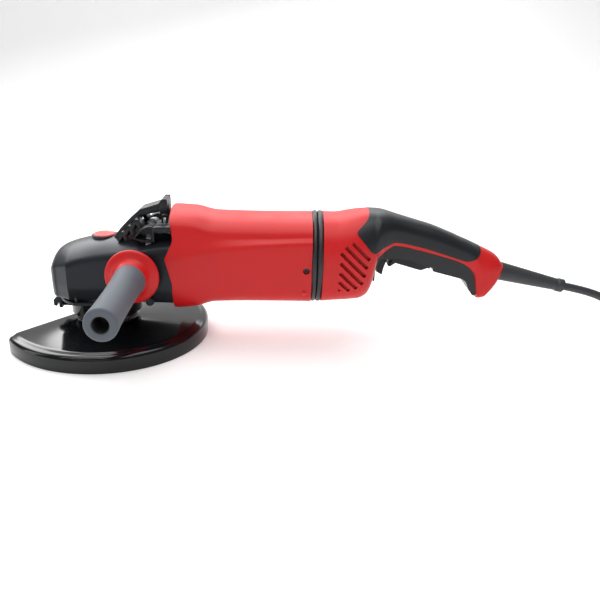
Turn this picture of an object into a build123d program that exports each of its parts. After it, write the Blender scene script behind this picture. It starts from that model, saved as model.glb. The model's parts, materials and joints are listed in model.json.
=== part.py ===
from build123d import *
import math
import os

# Large two-handed angle grinder, 230 mm disc class, in millimetres.
# Parts are drawn about the motor axis (X, towards the rear handle) with the spindle along Z at x = 0.
# save() lifts everything by AXIS_Z, so the row's origin is the spindle's free end.

# ---- driving dimensions ----
AXIS_Z = 95.0            # motor axis above the spindle's free end
GUARD_R = 120.0          # guard rim, outside
GUARD_TOP = -76.0        # guard plate's upper face
GUARD_HEIGHT = 21.1      # plate to rim edge
GUARD_WALL = 2.2
CHORD_DISTANCE = 32.5    # straight edge of the guard from the spindle axis
CHORD_ANGLE = 141.4      # direction of the guard's open side, degrees from +X
FLOOR = GUARD_TOP - GUARD_HEIGHT

HEAD_R = 61.0            # nose of the gear head about the spindle
HEAD_HALF = 47.0         # half width of the gear head
HEAD_BOTTOM = -45.0
NECK_R = 33.2            # bearing cover's neck, inside the guard collar
BAND_R = 41.5

SPINDLE_R = 7.0          # M14 thread, major radius
THREAD_MEET_R = 6.36     # where the spindle's and the nut's threads meet, their pitch radius
FREE_END = 6.0           # spindle below the clamping nut
NUT_GAP = 0.3
TAPPED_R = 5.95          # M14 side handle bosses, wall radius
BEARING_R = 21.0
GEAR_TEETH = 43
PINION_TEETH = 11
GEAR_PITCH_R = 36.0
FACE_WIDTH = 10.0

BUTTON_X = 3.6
BUTTON_R = 12.9
LOCK_X, LOCK_Y, LOCK_R = 3.6, 9.0, 2.2

HANDLE_X, HANDLE_Z = 45.4, -8.6
FLANGE_Y, FLANGE_R = 56.5, 30.1
GRIP_END, GRIP_R = 196.7, 16.8

MOTOR_FRONT = 87.0
RING_X, RING_W, RING_R = 245.3, 11.6, 51.1
MOTOR_REAR = RING_X - RING_W / 2
REAR_FRONT = RING_X + RING_W / 2
BORE_R = 44.5            # motor housing bore
ARMATURE_R = 26.0
SHAFT_R = 6.0

CORD_D = 8.8
CORD_R = CORD_D / 2
COIL_X, COIL_Y = 664.0, 37.0
COIL_MEAN_R = 48.0
COIL_ACROSS, COIL_LAYERS = 3, 4
BOOT_END = Vector(519.5, 0, -32.0)
CORD_POINTS = [BOOT_END, Vector(543, -0.5, -36.5), Vector(567, -2, -45), Vector(589, -5, -60),
               Vector(610, -9, -77), Vector(633, -14, -89.5), Vector(662, -19.5, -92.7)]


# ---- drawing helpers ----
def zcyl(r, z0, z1, x=0.0, y=0.0):
    return Pos(x, y, (z0 + z1) / 2) * Cylinder(r, z1 - z0)


def xcyl(r, x0, x1, y=0.0, z=0.0):
    return Pos((x0 + x1) / 2, y, z) * Rot(0, 90, 0) * Cylinder(r, x1 - x0)


def ycyl(r, y0, y1, x=0.0, z=0.0):
    return Pos(x, (y0 + y1) / 2, z) * Rot(90, 0, 0) * Cylinder(r, y1 - y0)


def block(x0, x1, y0, y1, z0, z1):
    return Pos((x0 + x1) / 2, (y0 + y1) / 2, (z0 + z1) / 2) * Box(x1 - x0, y1 - y0, z1 - z0)


def prism(points, direction):
    return extrude(make_face(Polyline(*points, close=True)), amount=direction.length, dir=direction.normalized())


def prism_y(xz, y0, y1):
    return prism([(x, y0, z) for x, z in xz], Vector(0, y1 - y0, 0))


def prism_z(xy, z0, z1):
    return prism([(x, y, z0) for x, y in xy], Vector(0, 0, z1 - z0))


def turned_z(rz, x=0.0, y=0.0):
    """Solid of revolution about Z from (radius, z) points."""
    face = make_face(Polyline(*[(r, 0, z) for r, z in rz], close=True))
    return Pos(x, y, 0) * revolve(face, Axis.Z)


def turned_x(xr):
    """Solid of revolution about X from (x, radius) points."""
    face = make_face(Polyline(*[(x, 0, r) for x, r in xr], close=True))
    return revolve(face, Axis.X)


def hex_nut(width, z0, z1):
    return prism_z([(width / math.sqrt(3) * math.cos(math.radians(a)),
                     width / math.sqrt(3) * math.sin(math.radians(a))) for a in range(0, 360, 60)], z0, z1)


def lofted(sections):
    """Ruled loft through closed polygons that all have the same number of corners."""
    return loft([make_face(Polyline(*points, close=True)) for points in sections], ruled=True)


def rounded(part, edges, radius):
    """Fillets the edges, stepping down when the full radius doesn't fit."""
    for r in (radius, radius * 0.6, radius * 0.3):
        try:
            return fillet(edges, r)
        except Exception:
            continue
    return part


def merged(parts):
    """Several separate solids as one node."""
    solids = [solid for part in parts for solid in part.solids()]
    return Compound(children=solids)


def save(name, part):
    moved = Pos(0, 0, AXIS_Z) * part
    export_step(moved, os.path.join("parts", name + ".step"))


# ---- housing sections ----
def blend(table, x):
    """Straight-line interpolation in rows of (x, values...)."""
    if x <= table[0][0]:
        return table[0][1:]
    for a, b in zip(table, table[1:]):
        if x <= b[0]:
            t = (x - a[0]) / (b[0] - a[0])
            return tuple(p + (q - p) * t for p, q in zip(a[1:], b[1:]))
    return table[-1][1:]


# x, top, crease y, crease z, side y, side z, bottom
MOTOR = [(78, 57, 45.5, 39, 50, 9, -59),
         (108, 55.5, 45, 38, 49.5, 14, -57),
         (134, 50.5, 44.5, 30.5, 49, 19, -49.5),
         (186, 49, 44, 29.5, 48.5, 25, -48.5),
         (RING_X, 48.6, 43, 31, 48, 27, -48.5)]

# x, top, bottom, half width
REAR = [(RING_X, 48.6, -48.5, 48.5),
        (264, 48.2, -47, 48.2),
        (280, 51, -46.3, 47.5),
        (292, 53, -45.5, 45.5),
        (301, 53.6, -41, 42.5),
        (306, 53.4, -30, 39.5),
        (311, 53, -1, 36),
        (316, 52.3, 5.5, 32),
        (322, 50.8, 11.5, 28),
        (330, 48.3, 16.5, 24),
        (342, 44.8, 14.5, 21),
        (354, 41.2, 11, 19.7),
        (368, 37, 7, 19),
        (392, 27.5, 0, 18.5),
        (404, 22, -4.2, 18.8),
        (412, 18.6, -9.5, 19.2),
        (418, 15.8, -18, 19.6),
        (421, 14.6, -34, 19.8),
        (424, 13.2, -43.5, 19.8),
        (431, 10, -42, 19.8),
        (437, 7, -35, 19.3),
        (442, 3.8, -27, 18),
        (446, -0.5, -18, 15.5),
        (448, -4, -12, 13)]

ARC_STEPS = 5


def motor_section(x):
    """Arched top, a shoulder crease on each side, flat flanks and a rounded bottom."""
    top, crease_y, crease_z, side_y, side_z, bottom = blend(MOTOR, x)
    half = []
    for i in range(ARC_STEPS):
        a = math.pi / 2 * i / ARC_STEPS
        half.append((crease_y * math.sin(a * 0.94), crease_z + (top - crease_z) * math.cos(a) ** 0.9))
    half += [(crease_y, crease_z), (side_y, side_z), (side_y, -14)]
    for i in range(1, ARC_STEPS + 1):
        a = math.pi / 2 * i / ARC_STEPS
        half.append((side_y * math.cos(a) ** 0.75, -14 + (bottom + 14) * math.sin(a) ** 0.85))
    half[-1] = (0.0, bottom)
    left = [(-y, z) for y, z in half[1:-1]]
    return [(x, y, z) for y, z in half + left[::-1]]


def rear_section(x, inset=0.0, corners=28, power=0.78):
    """Rounded-square section of the rear housing and the handle."""
    top, bottom, half = blend(REAR, x)
    mid, high = (top + bottom) / 2, (top - bottom) / 2 - inset
    wide = half - inset
    ring = []
    for i in range(corners):
        a = 2 * math.pi * (i + 0.5) / corners
        c, s = math.cos(a), math.sin(a)
        ring.append((x, wide * math.copysign(abs(c) ** power, c), mid + high * math.copysign(abs(s) ** power, s)))
    return ring


# ---- bevel gears ----
def involute(angle):
    return math.tan(angle) - angle


def bevel_gear(teeth, mate, blank):
    """Straight bevel gear about Z, apex at the origin and opening towards +Z; blank is its turned body."""
    module = 2 * GEAR_PITCH_R / GEAR_TEETH
    cone = math.atan2(teeth, mate)
    outer = module * math.hypot(teeth, mate) / 2
    inner_scale = (outer - FACE_WIDTH) / outer
    pressure = math.radians(20)
    virtual_teeth = teeth / math.cos(cone)
    virtual_r = module * virtual_teeth / 2
    base_r = virtual_r * math.cos(pressure)
    profile = []
    for height in (-1.3, -0.9, -0.4, 0.0, 0.45, 0.85):
        r = virtual_r + height * module
        roll = math.acos(min(1.0, base_r / r))
        half_angle = math.pi / (2 * virtual_teeth) * 0.93 + involute(pressure) - involute(roll)
        profile.append((r * math.sin(half_angle), height * module))
    outline = profile + [(-y, h) for y, h in profile[::-1]]
    along = Vector(math.sin(cone), 0, math.cos(cone))
    across = Vector(math.cos(cone), 0, -math.sin(cone))
    big = [along * outer + across * h + Vector(0, 1, 0) * y for y, h in outline]
    small = [p * inner_scale for p in big]
    tooth = loft([make_face(Polyline(*big, close=True)), make_face(Polyline(*small, close=True))], ruled=True)
    gear = blank
    for i in range(teeth):
        gear = gear + Rot(0, 0, 360 * i / teeth) * tooth
    return gear


def gear_root(teeth, mate, scale=1.0):
    """(radius, z) of the tooth root at the outer end, or nearer the apex by scale."""
    module = 2 * GEAR_PITCH_R / GEAR_TEETH
    cone = math.atan2(teeth, mate)
    outer = module * math.hypot(teeth, mate) / 2
    depth = 1.15 * module
    return ((outer * math.sin(cone) - depth * math.cos(cone)) * scale,
            (outer * math.cos(cone) + depth * math.sin(cone)) * scale)


INNER_SCALE = 1 - FACE_WIDTH / (GEAR_PITCH_R * math.hypot(GEAR_TEETH, PINION_TEETH) / GEAR_TEETH)


def crown_gear():
    heel = gear_root(GEAR_TEETH, PINION_TEETH)
    toe = gear_root(GEAR_TEETH, PINION_TEETH, INNER_SCALE)
    blank = turned_z([(6, 7.6), (13.5, 7.6), (14, 11.5), (toe[0] - 1.5, 11.5), toe, heel,
                      (heel[0] + 1.6, heel[1] + 2), (heel[0] + 1.6, 17), (30, 20), (6, 20)])
    gear = Rot(180, 0, 0) * bevel_gear(GEAR_TEETH, PINION_TEETH, blank)
    for i in range(4):
        hole = zcyl(LOCK_R + 0.4, -14, -7, LOCK_X, LOCK_Y)
        gear = gear - Rot(0, 0, 90 * i) * hole
    return gear


def pinion():
    heel = gear_root(PINION_TEETH, GEAR_TEETH)
    toe = gear_root(PINION_TEETH, GEAR_TEETH, INNER_SCALE)
    blank = turned_z([(4, toe[1]), toe, heel, (9.5, heel[1] + 1.2), (9.5, 46), (4, 46)])
    gear = bevel_gear(PINION_TEETH, GEAR_TEETH, blank)
    return Rot(0, 90, 0) * Rot(0, 0, 180 / PINION_TEETH) * gear


# ---- gear head ----
HEAD_PROFILE = [(-HEAD_R, HEAD_BOTTOM + 4), (-HEAD_R, -15), (-58.5, -8), (-50, 4), (-39, 11.5),
                (-26, 17), (-11, 20.5), (8, 23.5), (30, 28), (52, 38), (88, 46), (88, HEAD_BOTTOM),
                (-54, HEAD_BOTTOM)]


def v_front(offset=0.0):
    """Side view of everything behind the motor housing's V-shaped front edge."""
    edge = [(88.5, 75), (88.5, 27), (79.6, 8.7), (86.5, -19), (85.5, -75)]
    return [(x + offset, z) for x, z in edge] + [(RING_X + 40, -75), (RING_X + 40, 75)]


def head_outer():
    """Nose rounded about the spindle, flat flanks, and a roof that is arched across and rises rearwards."""
    side = prism_y(HEAD_PROFILE, -70, 70)
    nose = zcyl(HEAD_R, HEAD_BOTTOM, 60) + block(0, 88, -70, 70, HEAD_BOTTOM, 60)
    flank = [(-80, -HEAD_HALF), (60, -HEAD_HALF), (88, -48.5), (88, 48.5), (60, HEAD_HALF), (-80, HEAD_HALF)]
    plan = prism_z(flank, HEAD_BOTTOM - 1, 60)
    front, crease, rise, slope = -90, 8.0, 13.5, 0.2
    arch = []
    for i in range(13):
        y = HEAD_HALF * (i - 6) / 6
        arch.append((front, y, crease + slope * front + rise * (1 - (y / HEAD_HALF) ** 2)))
    outline = [(front, -HEAD_HALF, -120)] + arch + [(front, HEAD_HALF, -120)]
    dome = prism(outline, Vector(135, 0, 135 * slope))
    rear = xcyl(47, 30, 88) + block(30, 88, -48.5, 48.5, HEAD_BOTTOM, 34)
    return side & nose & plan & (dome + rear)


def gear_housing():
    shell = head_outer()
    shell = shell + ycyl(15, -FLANGE_Y + 3, FLANGE_Y - 3, HANDLE_X, HANDLE_Z)
    shell = shell - zcyl(43, HEAD_BOTTOM - 1, 5)
    shell = shell - zcyl(39, 4, 12)
    shell = shell - block(0, 70, -33, 33, -33, 12)
    shell = shell - xcyl(42, 58, 95)
    shell = shell - xcyl(21.05, 48, 60)
    shell = shell - (xcyl(60, MOTOR_FRONT - 12, 95) & prism_y(v_front(-0.05), -80, 80))
    boss = zcyl(9.5, 1, 14) + zcyl(5.4, 1, 14, LOCK_X, LOCK_Y)
    shell = shell + (boss & zcyl(42, -20, 14))
    shell = shell - zcyl(6.0, 0, 11)
    shell = shell - zcyl(LOCK_R + 0.05, -5, 30, LOCK_X, LOCK_Y)
    shell = shell - zcyl(BUTTON_R + 1.5, 14.5, 40, BUTTON_X)
    for side in (1, -1):
        hole = ycyl(TAPPED_R, 33, 60, HANDLE_X, HANDLE_Z)
        shell = shell - (hole if side > 0 else mirror(hole, Plane.XZ))
    for x, y in cover_screw_places():
        shell = shell - zcyl(2.1, HEAD_BOTTOM - 1, HEAD_BOTTOM + 10, x, y)
    for y, z in flange_screw_places():
        shell = shell - xcyl(2.1, 56, 66, y, z)
    return max(shell.solids(), key=lambda solid: solid.volume)


def cover_screw_places():
    return [(48.0 * math.cos(math.radians(a)), 48.0 * math.sin(math.radians(a))) for a in (60, 120, 240, 300)]


def flange_screw_places():
    return [(36 * math.cos(math.radians(a)), 36 * math.sin(math.radians(a))) for a in (45, 135, 225, 315)]


def bearing_cover():
    plate = zcyl(53, HEAD_BOTTOM - 3, HEAD_BOTTOM) & block(-60, 60, -46, 46, -60, 0)
    cover = plate + zcyl(NECK_R, -73.5, HEAD_BOTTOM - 3) + zcyl(42.8, HEAD_BOTTOM, HEAD_BOTTOM + 4)
    cover = cover - zcyl(BEARING_R, -60, HEAD_BOTTOM + 6) - zcyl(15, -75, -60) - zcyl(20, -73.5, -69)
    for x, y in cover_screw_places():
        cover = cover - zcyl(2.4, HEAD_BOTTOM - 4, HEAD_BOTTOM + 1, x, y) - countersink(x, y, 4.1)
    return cover


def countersink(x, y, radius):
    """Conical screw head, flush with the bearing cover's lower face."""
    face = HEAD_BOTTOM - 3
    return turned_z([(0, face), (radius, face), (radius - 2, face + 2), (0, face + 2)], x, y)


def cover_screw(x, y):
    socket = Pos(x, y, 0) * hex_nut(2.5, HEAD_BOTTOM - 4, HEAD_BOTTOM - 1.6)
    return countersink(x, y, 4.0) + zcyl(2.0, HEAD_BOTTOM - 3, HEAD_BOTTOM + 8, x, y) - socket


def gear_case_screws():
    """Four screws in the bearing cover and four in the bearing flange."""
    cover = [cover_screw(x, y) for x, y in cover_screw_places()]
    flange = [xcyl(4, 64, 66.5, y, z) + xcyl(2.05, 57.5, 64, y, z) for y, z in flange_screw_places()]
    return merged(cover + flange)


def bearing_flange():
    plate = xcyl(42, 58.2, 64) + xcyl(21, 49, 64)
    plate = plate - xcyl(16, 50, 65) - xcyl(10, 48, 51)
    for y, z in flange_screw_places():
        plate = plate - xcyl(2.4, 57, 65, y, z)
    return plate


def ball_bearing_z(r_in, r_out, z0, z1):
    """One solid: two races joined by the ball and cage row."""
    step = (r_out - r_in) * 0.3
    return turned_z([(r_in, z0), (r_in + step, z0), (r_in + step, z0 + 1), (r_out - step, z0 + 1),
                     (r_out - step, z0), (r_out, z0), (r_out, z1), (r_out - step, z1),
                     (r_out - step, z1 - 1), (r_in + step, z1 - 1), (r_in + step, z1), (r_in, z1)])


def ball_bearing_x(r_in, r_out, x0, x1):
    return Rot(0, 90, 0) * ball_bearing_z(r_in, r_out, x0, x1)


def spindle():
    neck = FREE_END - AXIS_Z
    return turned_z([(0, -AXIS_Z), (SPINDLE_R, -AXIS_Z), (SPINDLE_R, neck), (THREAD_MEET_R, neck),
                     (THREAD_MEET_R, -83.5), (11, -83.5), (11, -77),
                     (13, -77), (13, -60), (10, -60), (10, -47.5), (9, -47.5), (9, -20), (6, -20),
                     (6, -7.6), (4, -7.6), (4, 9.5), (3, 10.5), (0, 10.5)])


def inner_flange():
    body = turned_z([(11.03, -83.5), (20, -83.5), (21, -82.5), (21, -80), (16, -77), (11.03, -77)])
    return body - turned_z([(14, -84), (18, -84), (18, -82.8), (14, -82.8)])


def clamping_nut():
    face = FREE_END + NUT_GAP - AXIS_Z
    nut = turned_z([(THREAD_MEET_R, face), (19, face), (20, face + 1), (20, -84.5), (17, -83.5),
                    (THREAD_MEET_R, -83.5)])
    for i in range(2):
        nut = nut - zcyl(2.6, -90, -86, 15 * (1 - 2 * i), 0)
    return nut


def circlip():
    ring = zcyl(7.2, -7.6, -6.4) - zcyl(4.02, -8, -6)
    return ring - block(-1.5, 1.5, 2, 9, -8, -6)


# ---- spindle lock ----
def lock_collar():
    return zcyl(BUTTON_R + 1.4, 14.5, 20.5, BUTTON_X) - zcyl(BUTTON_R + 0.1, 16.5, 21, BUTTON_X) \
        - zcyl(LOCK_R + 0.3, 14, 17, LOCK_X, LOCK_Y)


def lock_button():
    cap = zcyl(BUTTON_R, 21.6, 24.9, BUTTON_X)
    cap = rounded(cap, cap.edges().group_by(Axis.Z)[-1], 1.4)
    skirt = zcyl(BUTTON_R, 20.8, 21.7, BUTTON_X)
    boss = zcyl(LOCK_R + 1.4, 20.6, 22, LOCK_X, LOCK_Y)
    return cap + skirt + boss


def lock_pin():
    """Drawn short of the crown gear, because the gear's holes face it only at some spindle angles."""
    return zcyl(LOCK_R, -2.9, 20.6, LOCK_X, LOCK_Y)


def lock_spring():
    """Wave spring at its pressed height, in the bottom of the collar."""
    return zcyl(5.0, 16.5, 17.2, BUTTON_X) - zcyl(3.4, 16, 18, BUTTON_X)


# ---- guard ----
def guard_shell():
    outer = zcyl(GUARD_R, FLOOR, GUARD_TOP)
    outer = rounded(outer, outer.edges().group_by(Axis.Z)[-1], 6.0)
    inner = zcyl(GUARD_R - GUARD_WALL, FLOOR - 1, GUARD_TOP - GUARD_WALL)
    inner = rounded(inner, inner.edges().group_by(Axis.Z)[-1], 4.0)
    lip = zcyl(GUARD_R, FLOOR, FLOOR + 1.6) - zcyl(GUARD_R - 5, FLOOR - 1, FLOOR + 3)
    shell = (outer - inner) + lip
    cut = block(CHORD_DISTANCE, 200, -200, 200, FLOOR - 5, GUARD_TOP + 5)
    shell = shell - Rot(0, 0, CHORD_ANGLE) * cut
    collar = zcyl(36.0, GUARD_TOP - GUARD_WALL, -52.5)
    return (shell + collar) - zcyl(NECK_R + 0.08, -90, -40)


def guard_band():
    band = turned_z([(36.05, -51), (BAND_R, -51), (BAND_R, -66), (BAND_R - 3.5, -69), (36.05, -69)])
    ears = block(-51, -40, -6, 6, -62, -52) - zcyl(36.5, -70, -50)
    band = band + ears
    slit = block(-60, -30, -1.2, 1.2, -70, -50)
    return band - slit - zcyl(2.05, -70, -50, -47, 4)


def lever_pin():
    return zcyl(2.0, -66.5, -48.5, -47, 4)


def guard_lever():
    arm = block(-52.4, -44.5, -1, 8, -51.6, -49.2) + block(-52.4, -44.5, -1, 8, -64.8, -62.4)
    web = block(-56, -52.2, -9, 9, -64.8, -49.2)
    tail = prism_y([(-52, -49.2), (-58, -50.5), (-61, -54), (-61, -60.5), (-57.5, -61.5), (-56, -57),
                    (-52, -56)], -13, -6)
    lever = arm + web + tail
    return lever - zcyl(2.06, -70, -40, -47, 4)


# ---- side handle ----
def side_handle_stud():
    stud = ycyl(5.9, -75, -38, HANDLE_X, HANDLE_Z) + ycyl(8.5, -75, -FLANGE_Y, HANDLE_X, HANDLE_Z)
    return stud


def side_handle_core():
    """Red flange with its raised cone, and the tube under the grip."""
    x, z = HANDLE_X, HANDLE_Z
    rim = [(-FLANGE_Y, 8.52), (-FLANGE_Y, FLANGE_R - 1.5), (-FLANGE_Y - 1.5, FLANGE_R),
           (-FLANGE_Y - 3.5, FLANGE_R), (-FLANGE_Y - 5.5, FLANGE_R - 2), (-FLANGE_Y - 7, 22),
           (-FLANGE_Y - 14, 18.4), (-FLANGE_Y - 14, 12), (-GRIP_END + 3, 12), (-GRIP_END + 3, 8.8),
           (-GRIP_END + 20, 8.8), (-GRIP_END + 20, 6.2), (-75, 6.2), (-75, 8.52)]
    face = make_face(Polyline(*[(r, y, 0) for y, r in rim], close=True))
    return Pos(x, 0, z) * revolve(face, Axis.Y)


def side_handle_grip():
    start, end = -FLANGE_Y - 14.0, -GRIP_END
    profile = [(12.02, start), (17.6, start), (17.0, start - 10), (GRIP_R - 0.8, start - 45),
               (GRIP_R - 0.8, end + 45), (GRIP_R, end + 14), (GRIP_R, end + 2), (GRIP_R - 2, end),
               (8.9, end), (8.9, end + 2.9), (12.02, end + 2.9)]
    face = make_face(Polyline(*[(r, y, 0) for r, y in profile], close=True))
    return Pos(HANDLE_X, 0, HANDLE_Z) * revolve(face, Axis.Y)


# ---- motor ----
def motor_housing():
    stations = [70, 108, 134, 186, MOTOR_REAR]
    body = lofted([motor_section(x) for x in stations])
    body = body & prism_y(v_front(), -90, 90)
    body = body - xcyl(BORE_R, MOTOR_FRONT - 30, MOTOR_REAR + 1)
    body = body - xcyl(47.2, MOTOR_FRONT - 30, MOTOR_FRONT + 9)
    for side in (-1, 1):
        recess = ycyl(3.9, 43, 60, 233.6, -3.5)
        body = body - (recess if side > 0 else mirror(recess, Plane.XZ))
    return max(body.solids(), key=lambda solid: solid.volume)


def armature_shaft():
    return turned_x([(15, 0), (15, 3.2), (16, 4), (46, 4), (46, SHAFT_R), (222, SHAFT_R), (222, 4),
                     (233, 4), (233, 0)])


def armature_core():
    core = xcyl(ARMATURE_R, 112, 176) - xcyl(SHAFT_R, 110, 180)
    for i in range(12):
        slot = block(111, 177, -1.2, 1.2, ARMATURE_R - 6, ARMATURE_R + 1)
        core = core - Rot(30 * i, 0, 0) * slot
    return core


def armature_windings():
    ends = []
    for x0, x1 in ((101, 111.9), (176.1, 190)):
        end = turned_x([(x0, SHAFT_R + 0.01), (x0, 17), (x0 + 2.5, 22), (x1 - 2, 23), (x1, 21),
                        (x1, SHAFT_R + 0.01)])
        ends.append(end)
    return merged(ends)


def commutator():
    body = xcyl(17, 194, 216) - xcyl(SHAFT_R, 190, 220)
    for i in range(24):
        slit = block(193, 217, -0.35, 0.35, 15.5, 18)
        body = body - Rot(15 * i, 0, 0) * slit
    return body


def fan():
    disc = xcyl(39, 84, 86) + xcyl(11, 78, 95)
    blade = prism_y([(72, 14), (84.5, 14), (84.5, 38.5), (76, 38.5)], -0.8, 0.8)
    for i in range(14):
        disc = disc + Rot(360 / 14 * i, 0, 0) * blade
    disc = disc + xcyl(16, 80, 85)
    return disc - xcyl(SHAFT_R, 70, 100)


def stator_core():
    ring = xcyl(BORE_R - 0.3, 112, 176) - xcyl(ARMATURE_R + 0.7, 110, 180)
    for side in (1, -1):
        pocket = block(110, 180, -19, 19, 31, 38.5)
        ring = ring - (pocket if side > 0 else mirror(pocket, Plane.XY))
    return ring


def field_coils():
    coils = []
    for side in (1, -1):
        outer = block(104, 184, -18.5, 18.5, 31.5, 38)
        coil = outer - block(111, 177, -12, 12, 30, 40)
        coils.append(coil if side > 0 else mirror(coil, Plane.XY))
    return merged(coils)


def air_baffle():
    return turned_x([(93, BORE_R - 0.2), (93, 41.5), (96.5, 34), (98.5, 34), (96.5, 42.5), (98, BORE_R - 0.2)])


def bearing_bracket():
    """Rear end bracket: a hub for the rear bearing on four spokes inside a rim."""
    rim = xcyl(BORE_R - 0.2, 222, 232) - xcyl(39, 220, 240)
    hub = xcyl(14, 222, 234) - xcyl(11, 224.9, 240) - xcyl(5, 220, 240)
    spokes = block(223, 229, -4, 4, 13, 40) + block(223, 229, -4, 4, -40, -13)
    spokes = spokes + block(223, 229, 13, 40, -4, 4) + block(223, 229, -40, -13, -4, 4)
    return rim + hub + spokes


def each_side(part):
    return merged([part, mirror(part, Plane.XZ)])


def brush_holders():
    return each_side(block(199, 212, 18.4, 42.5, -5.5, 5.5) - block(200.9, 210.1, 18, 43, -3.6, 3.6))


def brushes():
    return each_side(block(201, 210, 17.05, 33, -3.5, 3.5))


def brush_springs():
    return each_side(ycyl(2.6, 33.05, 42.3, 205.5) - ycyl(1.9, 32, 43, 205.5))


def damper_ring(x0, x1):
    ring = turned_x([(x0, 34.1), (x0, RING_R - 1), (x0 + 1, RING_R), (x1 - 1, RING_R), (x1, RING_R - 1),
                     (x1, 34.1)])
    return ring


def coupling_sleeve():
    return xcyl(34, 234.5, 262) - xcyl(30.5, 230, 270) + (xcyl(38, 256.5, 262) - xcyl(30.5, 250, 270))


# ---- rear housing and handle ----
GRIP_REGION = [(301, 80), (301.5, 58), (298, 49), (284.7, 37), (293.5, 27), (301.6, 17), (306, 13.6),
               (317.5, 18.2), (328.3, 22.8), (340.9, 20.2), (365.9, 13.7), (391, 5.3), (411, -1),
               (416.6, 2.5), (422, 8.4), (424, 14), (426, 80)]


def rear_outer(inset=0.0):
    start, stop = REAR_FRONT, 448.0 - inset
    stations = [start] + [row[0] for row in REAR if start + 2 < row[0] < stop - 1] + [stop]
    return lofted([rear_section(x, inset) for x in stations])


def rear_cavity():
    """Hollow for the electronics in the wide part, for the switch and cord in the handle."""
    wide_part = xcyl(41, REAR_FRONT - 1, 288)
    handle = [(286, 34, -30), (300, 38, -20), (312, 41, 12), (330, 37, 26), (345, 35.5, 23.5), (368, 29, 15),
              (392, 20, 7.5), (412, 9, 0)]
    upper = [(x, top) for x, top, low in handle]
    lower = [(x, low) for x, top, low in handle]
    passage = prism_y(upper + lower[::-1], -12.5, 12.5)
    gland = block(410, 436, -8, 8, -20, 1)
    return wide_part + passage + gland


def cord_bore():
    return Pos(432, 0, -11.5) * Rot(0, 105, 0) * Cylinder(5.6, 60)


def vent_slots():
    """Six parallel slanted slots and a small end hole in each side of the rear housing."""
    slots = []
    for i in range(6):
        start = (281.5, 274.3, 269.4, 269.4, 269.2, 269.0)[i]
        length = (26.8, 34.2, 38.8, 35.8, 27.2, 16.4)[i]
        height = (27.0, 23.0, 16.8, 5.9, -5.1, -15.5)[i]
        slope = math.radians(-45)
        mid_x = start + length / 2 * math.cos(slope)
        mid_z = height + length / 2 * math.sin(slope)
        for side in (-1, 1):
            slots.append(Pos(mid_x, side * 47, mid_z) * Rot(0, 45, 0) * Box(length, 24, 2.4))
    for side in (-1, 1):
        slots.append(ycyl(1.6, min(side * 35, side * 59), max(side * 35, side * 59), 269.8, -25.7))
    return slots


def soft_grip():
    shell = rear_outer() & prism_y(GRIP_REGION, -60, 60)
    return shell - rear_outer(2.4)


def rear_housing():
    """Both halves in one piece, before the split along y = 0."""
    body = rear_outer() - (prism_y(GRIP_REGION, -60, 60) - rear_outer(2.4))
    body = body - rear_cavity() - cord_bore()
    body = body - block(306, 326, -5.4, 5.4, -26, 12)
    body = body - xcyl(38.1, REAR_FRONT - 1, 262.1)
    body = body - block(324, 372, -11.5, 11.5, 0, 26)
    for slot in vent_slots():
        body = body - slot
    for x, z in handle_screw_places():
        body = body - ycyl(2.0, -60, 60, x, z)
        body = body - ycyl(4.1, 12, 60, x, z)
    return body - cord_boot()


def rear_half(whole, side):
    keep = block(REAR_FRONT - 1, 460, 0, 60, -60, 80)
    half = whole & (keep if side > 0 else mirror(keep, Plane.XZ))
    return max(half.solids(), key=lambda solid: solid.volume)


def handle_screw_places():
    return [(386, 3.0), (427, -34)]


def handle_screws():
    return merged([ycyl(3.8, 12, 14.4, x, z) + ycyl(1.95, -12, 12, x, z) for x, z in handle_screw_places()])


LOWER_TOP = [(372.5, 5.6), (392, -0.4), (403, -4.2), (409.5, -8.6), (415, -16.5), (418, -26), (419, -36)]
LOWER_EDGE = [(417.5, -39.6), (412.5, -32), (409.4, -23.6), (405.5, -20.2), (394.5, -17.3), (381.8, -13.9),
              (372.5, -11.6)]


TRIGGER_PIVOT = (367.5, -1.5)
LOCKOFF_PIVOT = (322.5, 3.0)
TRIGGER_CHEEK = [(327, 13.2), (330, 17), (342, 15), (374, 7), (374, -7), (362, -4.5), (350, 1), (333, 4.5),
                 (328.5, 5)]


def lower_grip():
    """Black lower shell: a cheek on each side of the trigger, and the knuckle guard behind it."""
    body = prism_y(LOWER_TOP + LOWER_EDGE, -16.5, 16.5)
    cheeks = prism_y(TRIGGER_CHEEK, -16.5, 16.5) - block(320, 372.4, -13.4, 13.4, -20, 30)
    body = (body + cheeks) - rear_outer() - ycyl(2.05, -20, 20, *TRIGGER_PIVOT)
    edges = body.edges().filter_by(lambda e: abs(e.center().Y) > 16.4 and e.center().Z < -10)
    body = rounded(body, edges, 3.0)
    for x, z in handle_screw_places():
        body = body - ycyl(4.1, 12, 60, x, z) - ycyl(2.0, -12.1, 12.1, x, z)
    return max(body.solids(), key=lambda solid: solid.volume)


def finger_liner():
    """Grey liner on the wall in front of the trigger."""
    profile = [(310.2, -24), (306.3, -22.5), (305.3, -10), (309, 0.5), (323.6, 16.3), (327.5, 17.3),
               (326.5, 13.4), (314.5, 0.4), (310.4, -11)]
    ears = block(318.5, 324.6, -9.5, 9.5, -0.5, 13)
    body = (prism_y(profile, -17, 17) + ears) - rear_outer() - block(300, 330, -5.2, 5.2, -30, 12)
    body = body - ycyl(1.52, -20, 20, *LOCKOFF_PIVOT)
    return max(body.solids(), key=lambda solid: solid.volume)



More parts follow.
